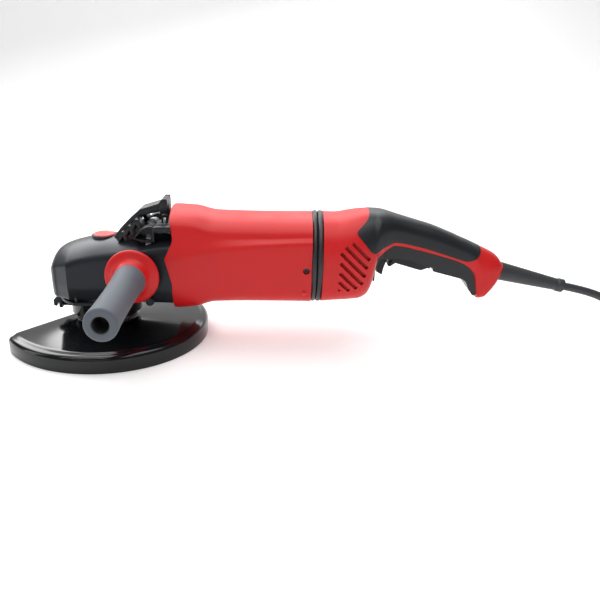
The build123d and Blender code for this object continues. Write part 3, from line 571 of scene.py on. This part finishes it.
# ---- motor housing ----
# x, top, crease y, crease z, side y, side z, bottom
MOTOR = [(70, 57, 43, 39.5, 50, 8, -59), (83, 57, 43, 39.5, 50, 9, -59), (108, 55.8, 42.5, 38.2, 49.6, 14, -57),
         (134, 50.5, 42, 31, 49, 19, -50), (186, 49, 41.5, 30, 48.5, 25, -48.7),
         (240, 48.6, 42.2, 32, 48, 27, -48.5)]
FLANK_END = -14.0
RECESS, LENS = (233.6, 0, -3.5), (231.7, 0, -29.1)
V_EDGE = [(83.4, 75), (83.8, 56), (88.3, 33), (88.3, 27), (79.6, 8.7), (86.8, -19), (86.2, -75)]


def v_edge(z):
    """x of the motor housing's V-shaped front edge at a height."""
    for (xa, za), (xb, zb) in zip(V_EDGE, V_EDGE[1:]):
        if zb <= z <= za:
            return lerp(xa, xb, (z - za) / (zb - za))
    return V_EDGE[0][0] if z > 0 else V_EDGE[-1][0]


def relaxed(ring, passes):
    """A closed ring of points, smoothed a little on each pass."""
    for _ in range(passes):
        ring = [tuple((a + 2 * b + c) / 4 for a, b, c in zip(ring[i - 1], ring[i], ring[(i + 1) % len(ring)]))
                for i in range(len(ring))]
    return ring


def motor_ring(values):
    """Arched top, a shoulder crease on each side, flat flanks and a rounded bottom, as (y, z) points."""
    top, crease_y, crease_z, side_y, side_z, bottom = values
    half = []
    for i in range(26):
        a = math.pi / 2 * i / 26
        half.append((crease_y * math.sin(a) ** 0.97, crease_z + (top - crease_z) * math.cos(a) ** 0.95))
    for i in range(8):
        half.append((lerp(crease_y, side_y, i / 8), lerp(crease_z, side_z, i / 8)))
    for i in range(10):
        half.append((side_y, lerp(side_z, FLANK_END, i / 10)))
    for i in range(23):
        a = math.pi / 2 * i / 22
        half.append((side_y * abs(math.cos(a)) ** 0.75, FLANK_END + (bottom - FLANK_END) * math.sin(a) ** 0.85))
    half[-1] = (0.0, bottom)
    return relaxed(half + [(-y, z) for y, z in half[1:-1]][::-1], 2)


def make_motor_housing():
    """Red moulded shell with a V-shaped front edge, shoulder creases and a screw recess on each side."""
    rear = high_mm("motor_housing").x - 0.1
    steps = 60
    rings = []
    base = motor_ring(MOTOR[2][1:])
    for i in range(steps + 1):
        t = i / steps
        ring = []
        for k in range(len(base)):
            x = lerp(85.0, rear, t)
            for _ in range(2):
                z = motor_point(x, k)[1]
                x = lerp(v_edge(z), rear, t)
            y, z = motor_point(x, k)
            ring.append((x, y, z))
        rings.append(ring)
    front = [(x + 0.5, y * 0.978, z * 0.978) for x, y, z in rings[0]]
    deep = [(x + 7, y * 0.95, z * 0.95) for x, y, z in rings[0]]
    back_in = [(x, y * 0.94, z * 0.94) for x, y, z in rings[-1]]
    rings[0] = [(x + 0.5, y * 0.995, z * 0.995) for x, y, z in rings[0]]
    shell = new_object("motor_shell", skinned([deep, front, *rings, back_in]), 40)
    recess = [(44, 0), (44, 3.4), (60, 3.8), (60, 0)]
    tools = [turned(f"recess_{side}", [(side * y, r) for y, r in recess], "y", RECESS, steps=32)
             for side in (-1, 1)]
    carved(shell, tools)
    creased(shell, 38)
    bevelled(shell, 0.5, 2, 38)
    head = [(44.0, 0), (44.0, 3.2), (45.2, 3.2), (45.6, 2.8), (45.6, 1.4), (44.6, 1.2), (44.6, 0)]
    screws = [turned(f"recess_screw_{side}", [(side * y, r) for y, r in head], "y", RECESS, steps=24)
              for side in (-1, 1)]
    placed(joined("housing_side_screws", screws), "tool", "screw_steel")
    return placed(shell, "tool", "red_plastic", "motor_housing")


RING_CACHE = {}


def motor_point(x, k):
    """Point k of the section at x, taken from sections a millimetre apart."""
    low = math.floor(x)
    for station in (low, low + 1):
        if station not in RING_CACHE:
            RING_CACHE[station] = motor_ring(eased(MOTOR, station))
    a, b = RING_CACHE[low][k], RING_CACHE[low + 1][k]
    return lerp(a[0], b[0], x - low), lerp(a[1], b[1], x - low)


make_motor_housing()


# ---- damper ring between motor and rear housing ----
def make_damper_rings():
    """Two round rubber beads with a groove between them."""
    for node in ("damper_ring_front", "damper_ring_rear"):
        x0, x1 = low_mm(node).x, high_mm(node).x
        r = high_mm(node).y
        mid, half = (x0 + x1) / 2, (x1 - x0) / 2
        bead = [(mid - half * math.cos(a), r - 2.4 + 2.4 * math.sin(a) ** 0.7)
                for a in [math.pi * k / 12 for k in range(13)]]
        outline = [(x0, 40.5), *bead, (x1, 40.5)]
        placed(turned(node + "_bead", outline, "x", steps=128, sharp=50), "tool", "damper_rubber", node)


make_damper_rings()


# ---- rear housing ----
# x, top, bottom, half width
REAR = [(240, 48.6, -48.5, 48.5), (264, 48.2, -47, 48.2), (280, 51, -46.3, 47.5), (292, 53, -45.5, 45.5),
        (301, 53.6, -41, 42.5), (306, 53.4, -30, 39.5), (311, 53, -1, 36), (316, 52.3, 5.5, 32),
        (322, 50.8, 11.5, 28), (330, 48.3, 16.5, 24), (342, 44.8, 14.5, 21), (354, 41.2, 11, 19.7),
        (368, 37, 7, 19), (392, 27.5, 0, 18.5), (404, 22, -4.2, 18.8), (412, 18.6, -9.5, 19.2),
        (418, 15.8, -18, 19.6), (421, 14.6, -34, 19.8), (424, 13.2, -43.5, 19.8), (431, 10, -42, 19.8),
        (437, 7, -35, 19.3), (442, 3.8, -27, 18), (446, -0.5, -18, 15.5), (448, -4, -12, 13)]
REAR_POINTS = 112
SHOULDER_START, UNDERSIDE_START = 251.0, 312.0
WALL, GRIP_PROUD, SPLIT_GAP = 3.0, 0.35, 0.06


def rear_ring(x, outset=0.0):
    """Rounded-square section, with a soft shoulder where the wide part meets the motor's creases."""
    top, bottom, half = eased(REAR, x)
    mid, high, wide = (top + bottom) / 2, (top - bottom) / 2 + outset, half + outset
    blend = min(1.0, max(0.0, (x - SHOULDER_START) / 45))
    power = lerp(0.72, 0.8, blend)
    under = lerp(power, 0.36, min(1.0, max(0.0, (x - UNDERSIDE_START) / 20)))
    ring = []
    for i in range(REAR_POINTS):
        a = 2 * math.pi * (i + 0.5) / REAR_POINTS
        c, s = math.cos(a), math.sin(a)
        bend = power if s > 0 else under
        ring.append((x, wide * math.copysign(abs(c) ** bend, c), mid + high * math.copysign(abs(s) ** bend, s)))
    return ring


def rear_solid(name, outset, start, end, step=1.6):
    """The rear housing's outer form, grown by outset, with a rounded end."""
    count = round((end - start) / step)
    rings = [rear_ring(lerp(start, end, i / count), outset) for i in range(count + 1)]
    last = rings[-1]
    centre = sum((Vector(p) for p in last), Vector()) / len(last)
    for share, push in ((0.93, 0.9), (0.78, 1.7), (0.5, 2.2)):
        rings.append([(centre.x + push, *(centre + (Vector(p) - centre) * share).yz) for p in last])
    return new_object(name, skinned(rings), 40)


GRIP_REGION = [(302, 80), (302.6, 57), (298, 48.5), (284.9, 37), (293.5, 27), (301.6, 17), (306, 13.6),
               (317.5, 18.6), (328.3, 22.8), (340.9, 20.2), (365.9, 13.7), (391, 5.3), (408, 0.0), (416.6, 2.5),
               (422, 8.4), (423.6, 14), (424, 80)]
SLOT_WIDTH = 3.5


def vent_tools():
    """Six parallel slanted slots, each from (x, z) with a length, and a small end hole, on each side."""
    tools = []
    slots = ((281.5, 27.0, 26.8), (274.3, 23.0, 34.2), (269.4, 16.8, 38.8), (269.4, 5.9, 35.8),
             (269.2, -5.1, 27.2), (269.0, -15.5, 16.4))
    down = Vector((math.cos(math.radians(45)), -math.sin(math.radians(45))))
    across = Vector((down.y, -down.x)) * SLOT_WIDTH / 2
    for side in (-1, 1):
        low, high = sorted((side * 38, side * 60))
        for k, (x, z, length) in enumerate(slots):
            start, end = Vector((x, z)), Vector((x, z)) + down * length
            corners = [start + across, end + across, end - across, start - across]
            tools.append(prism(f"slot_{side}_{k}", softened(corners, 0.8, 2), "y", low, high, 0))
        last = softened([(268.2, -24.0), (271.6, -25.8), (269.0, -27.6)], 0.7, 2)
        tools.append(prism(f"slot_end_{side}", last, "y", low, high, 0))
    return tools


def make_rear_housing():
    """Two red halves with a wall and the vents, and a plate inside behind the vents."""
    start = low_mm("rear_housing_left").x + 0.1
    end = high_mm("rear_housing_left").x - 0.6
    whole = rear_solid("rear_whole", 0.0, start, end)
    inner = rear_solid("rear_inner", -WALL, start - 2, end - 8, 3.0)
    carved(whole, [inner, *vent_tools()])
    for name, side, node in (("left", 1, "rear_housing_left"), ("right", -1, "rear_housing_right")):
        half = whole.copy()
        half.data = whole.data.copy()
        half.name = f"rear_shell_{name}"
        bpy.context.scene.collection.objects.link(half)
        span = sorted((side * SPLIT_GAP, side * 90))
        keep = prism("keep", [(200, -90), (500, -90), (500, 90), (200, 90)], "y", *span, 0)
        carved(half, [keep], "INTERSECT")
        creased(half, 38)
        bevelled(half, 0.35, 2, 40)
        placed(half, "tool", "red_plastic", node)
    bpy.data.objects.remove(whole)
    screen = softened([(262, 31), (294, 31), (302.5, 18), (302.5, -12), (294, -29), (262, -31)], 3)
    plates = [prism(f"vent_plate_{side}", screen, "y", *sorted((side * 37.2, side * 38.4)), 0.3)
              for side in (-1, 1)]
    placed(joined("vent_screens", plates), "tool", "red_plastic")


def make_soft_grip():
    """Rubber overmould, a little proud of the red shell and rounded along its edge."""
    body = rear_solid("soft_grip_skin", GRIP_PROUD, 276, 430)
    region = prism("grip_region", softened(GRIP_REGION, 4.0, 6), "y", -70, 70, 0)
    carved(body, [region], "INTERSECT")
    creased(body, 38)
    bevelled(body, 0.8, 3, 40)
    return placed(body, "tool", "black_soft_grip", "soft_grip")


def make_lower_grip():
    """Black shell under the red edge: cheeks beside the trigger, and the knuckle guard behind it."""
    guard = [(372.5, 13), (384, 10), (392, 6.5), (404, 3), (412, -1.5), (418.5, -9), (421.5, -18), (423, -30),
             (422, -38), (418.6, -39.4), (413, -32), (409.6, -23.2), (406, -20.4), (395, -17.4), (382, -14),
             (372.5, -11.5)]
    body = bevelled(prism("knuckle_guard", softened(guard, 1.5, 3), "y", -17.2, 17.2, 0), 1.6, 3, 50)
    cheek = [(318.4, 4), (320, 10.5), (329.5, 19), (342, 18), (374, 10), (374, -8), (362, -5.5), (350, -0.5),
             (333, 3), (325, 1)]
    parts = [body]
    for side in (-1, 1):
        low, high = sorted((side * 13.5, side * 17.4))
        parts.append(bevelled(prism(f"cheek_{side}", softened(cheek, 1.2, 3), "y", low, high, 0), 0.9, 3, 50))
    return placed(joined("lower_grip_skin", parts), "tool", "black_plastic", "lower_grip")


def make_handle_pins():
    """Blackened pins of the trigger and the lock-off lever."""
    pins = []
    for name, half, r, centre in (("trigger_pin", 15.4, 1.9, (367.5, 0, -1.5)),
                                  ("lockoff_pin", 8.9, 1.4, (322.5, 0, 3.0))):
        pins.append(turned(name, [(-half, 0), (-half, r), (half, r), (half, 0)], "y", centre, steps=32))
    return placed(joined("handle_pins_skin", pins), "tool", "screw_steel", "handle_pins")


def make_lens():
    """Small dark-red lens low on the motor housing's rear edge, on each side."""
    dome = [(47.2, 0), (47.2, 1.6), (48.6, 1.5), (49.0, 0.9), (49.1, 0)]
    parts = [turned(f"lens_{side}", [(side * y, r) for y, r in dome], "y", LENS, steps=24) for side in (-1, 1)]
    return placed(joined("housing_lens", parts), "tool", "red_button")


make_lower_grip()
make_handle_pins()
make_lens()
make_rear_housing()
make_soft_grip()


# ---- gear head ----
# x, crease z, roof z on the centre line
HEAD = [(-61, -17, -16), (-59, -13.5, -9.5), (-54, -9.5, 1.8), (-48, -6.5, 8.2), (-39, -3, 13), (-26, 1.5, 16.8),
        (-11, 6, 20), (4, 8.8, 22.2), (20, 11, 23.5), (38, 13.5, 25), (52, 15, 27), (66, 17, 30), (88, 20, 34)]
NOSE_END, FACET_END, CORNER = -61.0, -48.0, -31.5
HEAD_HALF, FACET_HALF, HEAD_HALF_REAR = 46.3, 33.0, 48.3
HEAD_BOTTOM, HEAD_WAIST, HEAD_REAR = -44.8, -27.0, 87.0
HANDLE_X, HANDLE_Z = middle("side_handle_stud").x / MM, (middle("side_handle_stud").z - AXIS_HEIGHT) / MM
BUTTON_X = middle("lock_collar").x / MM
BUTTON_RIM, BUTTON_R = low_mm("lock_button").z, (high_mm("lock_button").x - low_mm("lock_button").x) / 2
CAP_DEPTH, BUTTON_TRAVEL = 3.0, 3.5
WELL_FLOOR, WELL_R = BUTTON_RIM - CAP_DEPTH - BUTTON_TRAVEL - 0.7, 14.6


def head_half(x):
    """Half width of the gear head: straight flanks, a slanted facet, then round the nose."""
    if x > CORNER:
        return lerp(HEAD_HALF, HEAD_HALF_REAR, max(0.0, (x - 40) / 48))
    if x > FACET_END:
        return lerp(HEAD_HALF, FACET_HALF, (CORNER - x) / (CORNER - FACET_END))
    share = min(1.0, (FACET_END - x) / (FACET_END - NOSE_END))
    return FACET_HALF * (1 - share ** 1.7) ** 0.56


def head_ring(x):
    """Section of the gear head: narrower foot, upright flanks and an arched roof."""
    crease, roof = eased(HEAD, x)
    half = max(0.4, head_half(x))
    bottom, waist, foot = HEAD_BOTTOM, HEAD_WAIST, half * 0.91
    side = [(foot * i / 8, bottom) for i in range(8)]
    side += [(lerp(foot, half, i / 8), lerp(bottom, waist, i / 8)) for i in range(8)]
    side += [(half, lerp(waist, crease, i / 12)) for i in range(12)]
    for i in range(25):
        share = 1 - i / 24
        side.append((half * share, crease + (roof - crease) * (1 - share ** 2)))
    ring = relaxed(side + [(-y, z) for y, z in side[1:-1]][::-1], 2)
    return [(x, y, z) for y, z in ring]


def make_gear_head():
    """Dark metal gear housing: domed roof over flat flanks, with a boss for the side handle on each side."""
    stations = [lerp(NOSE_END, CORNER, 1 - math.cos(math.pi / 2 * i / 26)) for i in range(26)]
    stations += [lerp(CORNER, HEAD_REAR, i / 56) for i in range(57)]
    head = new_object("gear_head_skin", skinned([head_ring(x) for x in stations]), 36)
    well = [(WELL_FLOOR, 0), (WELL_FLOOR, WELL_R), (40, WELL_R), (40, 0)]
    carved(head, [turned("button_well", well, "z", (BUTTON_X, 0, 0), steps=64)])
    creased(head, 34)
    bosses = []
    x, z = HANDLE_X, HANDLE_Z
    for side in (-1, 1):
        face = 56.3 if side < 0 else 53.4
        outline = softened([(side * 40, 0), (side * 40, 21), (side * 50, 18.5), (side * face, 15.5),
                            (side * face, 6.2), (side * (face - 9), 6.0), (side * (face - 9), 0)], 1.5)
        bosses.append(turned(f"handle_boss_{side}", outline, "y", (x, 0, z), steps=64))
    nose = softened([(-60.6, -40), (-57, -44), (-50, -44), (-50, -20), (-59, -20)], 1.5)
    rib = prism("nose_rib", nose, "y", -3, 3, 0.8)
    stub = softened([(-50.5, 0), (-50.5, 4.6), (-44, 5.4), (-44, 0)], 1.0)
    lug = turned("flank_lug", stub, "y", (61.7, 0, -40.5), steps=32)
    return placed(joined("gear_head", [head, *bosses, rib, lug]), "tool", "head_metal", "gear_housing")


make_gear_head()


# ---- spindle lock button ----
def make_button():
    """Red dished cap in a black collar; the cap goes down into the well when pressed."""
    r, rim = BUTTON_R, BUTTON_RIM
    top, base = high_mm("lock_button").z, low_mm("lock_collar").z
    collar = softened([(base, r + 0.15), (base, r + 1.6), (top - 1.9, r + 1.6), (top - 1.3, r + 1.1),
                       (top - 1.3, r + 0.15)], 0.5)
    placed(turned("button_collar", collar, "z", (BUTTON_X, 0, 0), steps=96), "tool", "screw_steel",
           "lock_collar")
    cap = [(rim - CAP_DEPTH, 0), (rim - CAP_DEPTH, r - 1.2), (rim, r - 0.1), (top - 1.4, r - 0.1),
           (top - 0.4, r - 0.6), (top, r - 1.8), (top - 0.5, r - 3.6), (top - 0.75, r * 0.4), (top - 0.8, 0)]
    button = turned("lock_button_cap", softened(cap, 0.6, 3, closed=False), "z", (BUTTON_X, 0, 0), steps=96)
    placed(button, "lock_button", "red_button", "lock_button")


make_button()


# ---- air deflector ----
def slab(name, outline, reach, bevel):
    """Plates cut to an (x, z) outline: one across the centre plane, or one on each side of it."""
    low, high = reach
    if low < 0:
        return [prism(name, softened(outline, 1.0, 3), "y", low, high, bevel)]
    return [prism(f"{name}_{side}", softened(outline, 1.0, 3), "y", *sorted((side * low, side * high)), bevel)
            for side in (-1, 1)]


def inner_outline(outer, wall):
    """The outline with each corner moved by wall towards the middle."""
    corners = [Vector(p) for p in outer]
    centre = sum(corners, Vector((0, 0))) / len(corners)
    return [tuple(centre + (p - centre) * (1 - wall / (p - centre).length)) for p in corners]


def window_frame(name, outer, wall, low, high):
    """A raised frame round an opening."""
    body = prism(name, softened(outer, 1.2, 3), "y", low, high, 0)
    hole = prism("hole", softened(inner_outline(outer, wall), 1.0, 3), "y", low - 2, high + 2, 0)
    carved(body, [hole])
    creased(body, 32)
    return bevelled(body, 0.5)


LUGS, LUG_START, LUG_STEP = 3, (26.5, 19.5), (8.2, 7.4)


def make_deflector():
    """Black cover behind the button: curved spine up to a fin, stepped lugs, side windows and a rear ledge."""
    spine = [(13.8, 15.5), (19, 25), (25.7, 33.5), (35, 42.6), (44.3, 50.6), (49.6, 55.2), (60, 58.2), (70, 61.0),
             (73.8, 66.0), (79.4, 66.3), (80.3, 60), (80, 56), (71, 56.5), (58, 53.6), (50.5, 51), (46, 47),
             (37, 38.5), (29, 30.5), (22, 21), (17.5, 13)]
    rail = [(15, 17), (25.7, 32.6), (44.3, 49.8), (50, 54.2), (70, 60), (71.5, 52.5), (58, 49.8), (50.5, 47.3),
            (45, 42.6), (31, 28.6), (21, 13.5)]
    fin = [(71.5, 50.5), (71.0, 61), (74, 66.4), (79.6, 66.4), (80.3, 60), (80.2, 50.2)]
    bracket = [(73.4, 37), (73.8, 49.2), (80.6, 50), (80.9, 37)]
    parts = slab("spine", spine, (-12, 12), 1.2) + slab("rail", rail, (9.5, 13.0), 0.7)
    parts += slab("fin", fin, (8.5, 13.4), 0.9)
    parts += slab("fin_wall", [(77.4, 40), (77.6, 66.2), (80.3, 60), (80.4, 40)], (-10, 10), 0.6)
    for side in (-1, 1):
        low, high = sorted((side * 10.5, side * 17))
        parts.append(window_frame(f"bracket_{side}", bracket, 1.7, low, high))
    for k in range(LUGS):
        x, z = LUG_START[0] + LUG_STEP[0] * k, LUG_START[1] + LUG_STEP[1] * k
        lug = [(x - 3.4, z + 3.4), (x + 3.0, z + 13), (x + 6.8, z + 12), (x + 11.4, z + 2.6), (x + 7.6, z - 0.6),
               (x + 3.9, z + 7.6), (x + 0.9, z + 1)]
        parts += slab(f"lug_{k}", lug, (11, 24.5 + 1.4 * k), 0.7)
        parts += slab(f"lug_floor_{k}", [(x - 4, z - 4), (x + 4, z + 3.5), (x + 9, z - 1), (x + 2, z - 9)],
                      (0.5, 22 + 1.2 * k), 0.5)
    parts += slab("bed", [(18, 10), (27, 22), (46, 40), (52, 33), (44, 24), (40, 12)], (-9.5, 9.5), 0.6)
    window = [(44.5, 28), (52.2, 37.8), (61.3, 42.4), (68.4, 41.6), (68.4, 24.6), (56.5, 24.4)]
    for side in (-1, 1):
        parts.append(window_frame(f"window_{side}", window, 2.6, *sorted((side * 26, side * 39))))
        back = sorted((side * 23, side * 28))
        parts.append(prism(f"window_back_{side}", softened(window, 1.2, 3), "y", *back, 0.4))
        ledge = softened([(68.6, 36.8), (67.6, 40.8), (70, 42.8), (87.4, 42.8), (87.4, 36.8)], 0.8, 2)
        parts.append(prism(f"ledge_{side}", ledge, "y", *sorted((side * 24, side * 43.5)), 0.7))
    arch = [(-44, 35), (-44, 40), (-31, 43), (-19, 49.5), (-14, 50.5), (14, 50.5), (19, 49.5), (31, 43), (44, 40),
            (44, 35), (30, 35), (16, 44), (-16, 44), (-30, 35)]
    parts.append(prism("rear_arch", softened(arch, 2.0, 3), "x", 82.5, 87.4, 0.6))
    cover = joined("air_deflector_cover", parts)
    room = [(5, 0), (5, BUTTON_R + 1.6), (60, BUTTON_R + 1.6), (60, 0)]
    carved(cover, [turned("button_room", room, "z", (BUTTON_X, 0, 0), steps=48)])
    return placed(creased(cover, 34), "tool", "black_plastic", "air_deflector")


def make_neck():
    """Round metal neck between the gear head and the motor, seen through the deflector's openings."""
    outline = softened([(40, 26), (47, 34), (54, 38.6), (72, 39.6), (84, 41.5), (84, 20), (40, 20)], 1.5)
    return placed(turned("head_neck", outline, "x", steps=96), "tool", "head_metal")


make_deflector()
make_neck()


# ---- guard ----
CHORD_DISTANCE, CHORD_ANGLE = 32.5, 141.4
GUARD_TOP, GUARD_WALL, GUARD_NECK_R = -76.0, 2.2, 35.0


def make_guard():
    """Half-round pressed steel guard: flat plate, stepped and rounded shoulder, deep rim with a rolled lip."""
    top, wall, neck = GUARD_TOP, GUARD_WALL, GUARD_NECK_R
    bottom = low_mm("guard_shell").z + 0.05
    rim = -low_mm("guard_shell").y
    shoulder = [(top - 6.4, rim), (top - 4.6, rim - 0.5), (top - 3.1, rim - 1.7), (top - 2.2, rim - 3.6),
                (top - 1.8, rim - 5.8), (top - 1.5, rim - 7.2), (top - 0.7, rim - 8.8), (top - 0.15, rim - 10.4),
                (top, rim - 12.5)]
    outline = [(bottom + 0.5, rim - 0.1), (bottom, rim - 0.6), (bottom, rim - 4.6), (bottom + 1.2, rim - 5.0),
               (bottom + 1.6, rim - 4.4), (bottom + 1.8, rim - wall), (top - 8, rim - wall),
               (top - 5, rim - wall - 2), (top - wall - 1.6, rim - 8), (top - wall, rim - 13), (top - wall, neck),
               (-53, neck), (-52.6, neck + 0.6), (-53, 36.1), (top + 3, 36.1), (top + 0.8, 37.2), (top, 39.5),
               *shoulder[::-1], (bottom + 1.4, rim)]
    shell = turned("guard_skin", outline, "z", steps=192, sharp=50)
    chord = prism("chord", [(CHORD_DISTANCE, -200), (200, -200), (200, 200), (CHORD_DISTANCE, 200)], "z",
                  bottom - 5, top + 1.0, 0)
    chord.data.transform(Matrix.Rotation(math.radians(CHORD_ANGLE), 4, "Z"))
    carved(shell, [chord])
    creased(shell, 40)
    bevelled(shell, 0.5, 2, 45)
    return placed(shell, "guard", "guard_paint", "guard_shell")


make_guard()


# ---- side handle ----
def make_side_handle():
    """Red flange with a raised cone, and a grey rubber sleeve with a rounded, hollow end."""
    x, z = HANDLE_X, HANDLE_Z
    face, end = high_mm("side_handle_core").y, low_mm("side_handle_grip").y
    r = (high_mm("side_handle_core").x - low_mm("side_handle_core").x) / 2
    flange = [(face, 8.4), (face, r - 1.2), (face - 0.7, r - 0.2), (face - 2.2, r), (face - 3.8, r - 0.7),
              (face - 4.6, r - 2.2), (face - 5.2, r - 4.4), (face - 6.2, 22.4), (face - 8, 20.6),
              (face - 12.5, 18.6), (face - 15.5, 18.0), (face - 16.5, 17.0), (face - 16.5, 8.4)]
    placed(turned("handle_flange", flange, "y", (x, 0, z), steps=128, sharp=50), "tool", "red_plastic",
           "side_handle_core")
    start, tip = face - 14.5, 16.75
    sleeve = [(start, 12), (start, 17.0), (start - 0.8, 17.7), (start - 3, 17.75), (start - 12, 17.0),
              (start - 30, 16.2), (start - 60, 15.9), (start - 90, 15.95), (end + 20, 16.2), (end + 8, 16.7),
              (end + 2.6, tip), (end + 0.9, tip - 0.6), (end + 0.1, tip - 1.9), (end, tip - 3.0), (end, 9.6),
              (end + 0.5, 8.8), (end + 1.6, 8.5), (end + 26, 8.1), (end + 26, 5.4), (end + 40, 5.0),
              (end + 40, 12)]
    grip = turned("handle_sleeve", softened(sleeve, 0.8, 3), "y", (x, 0, z), steps=128, sharp=50)
    placed(grip, "tool", "grey_rubber", "side_handle_grip")
    # Near-black rubber cup over the wall and floor of the sleeve's hollow end: painted shade, darker than the
    # grey rubber, where the socket lies in shadow.
    shade_cup = [(end + 1.2, 8.75), (end + 1.2, 8.2), (end + 24.9, 7.6), (end + 24.9, 5.2), (end + 25.6, 4.9),
              (end + 25.6, 0), (end + 26.2, 0), (end + 26.2, 8.2)]
    placed(turned("handle_socket_shade_cup", shade_cup, "y", (x, 0, z), steps=64), "tool", "seal_rubber")


make_side_handle()


# ---- stage ----
AMBIENT = 0.22


def make_floor():
    """Pale floor that curves up into a backdrop behind the object."""
    bm = bmesh.new()
    flat, bend, height = 0.8, 1.0, 2.6
    outline = [(-3.0, 0.0), (flat, 0.0)]
    for k in range(1, 17):
        a = math.pi / 2 * k / 16
        outline.append((flat + bend * math.sin(a), bend * (1 - math.cos(a))))
    outline.append((flat + bend, height))
    rows = [[bm.verts.new((x, y, FLOOR_Z + z)) for y, z in outline] for x in (-3.5, -1.0, 1.5, 4.0)]
    for a, b in zip(rows, rows[1:]):
        for i in range(len(a) - 1):
            bm.faces.new((a[i], a[i + 1], b[i + 1], b[i]))
    floor = new_object("studio_floor", bm)
    n = Nodes("studio_floor")
    n.link(n.mixed(n.ranged(n.noise(0.4), 0.0, 1.0), (0.88, 0.88, 0.885), (0.9, 0.9, 0.9)),
           n.shader.inputs["Base Color"])
    n.shader.inputs["Roughness"].default_value = 0.6
    n.shader.inputs["Specular IOR Level"].default_value = 0.1
    n.shader.inputs["Emission Color"].default_value = (1, 1, 1, 1)
    n.shader.inputs["Emission Strength"].default_value = AMBIENT
    floor.data.materials.append(n.material)


def area_light(name, place, target, size, power):
    """Rectangular soft box at a place in the frame, facing the target."""
    data = bpy.data.lights.new(name, "AREA")
    data.shape = "RECTANGLE"
    data.size, data.size_y = size
    data.energy = power
    light = bpy.data.objects.new(name, data)
    bpy.context.scene.collection.objects.link(light)
    light.location = place
    light.rotation_mode = "QUATERNION"
    light.rotation_quaternion = (Vector(target) - Vector(place)).to_track_quat("-Z", "Y")


def make_lights():
    """White surroundings, soft boxes above and behind, and a thin strip for the highlights along edges."""
    world = bpy.data.worlds.new("studio")
    world.use_nodes = True
    background = world.node_tree.nodes["Background"]
    background.inputs["Color"].default_value = (1.0, 1.0, 1.0, 1)
    background.inputs["Strength"].default_value = AMBIENT
    bpy.context.scene.world = world
    area_light("top_softbox", (0.25, 0.1, 1.6), (0.2, 0.0, 0.1), (1.8, 0.9), 15)
    area_light("back_softbox", (-0.2, 0.9, 1.05), (0.1, 0.0, 0.1), (2.2, 0.9), 16)
    area_light("roof_light", (-0.45, 0.6, 0.65), (0.0, 0.0, 0.1), (0.55, 0.4), 3.4)
    area_light("edge_strip", (-0.05, -0.62, 1.35), (0.1, -0.1, 0.05), (1.7, 0.06), 6)
    area_light("front_softbox", (-0.2, -1.7, 0.8), (0.2, 0.0, 0.05), (1.2, 0.6), 2)
    area_light("left_strip", (-1.2, -0.3, 0.5), (0.0, 0.0, 0.05), (0.4, 1.0), 3)


make_floor()
make_lights()
bpy.context.scene.view_settings.view_transform = "Standard"
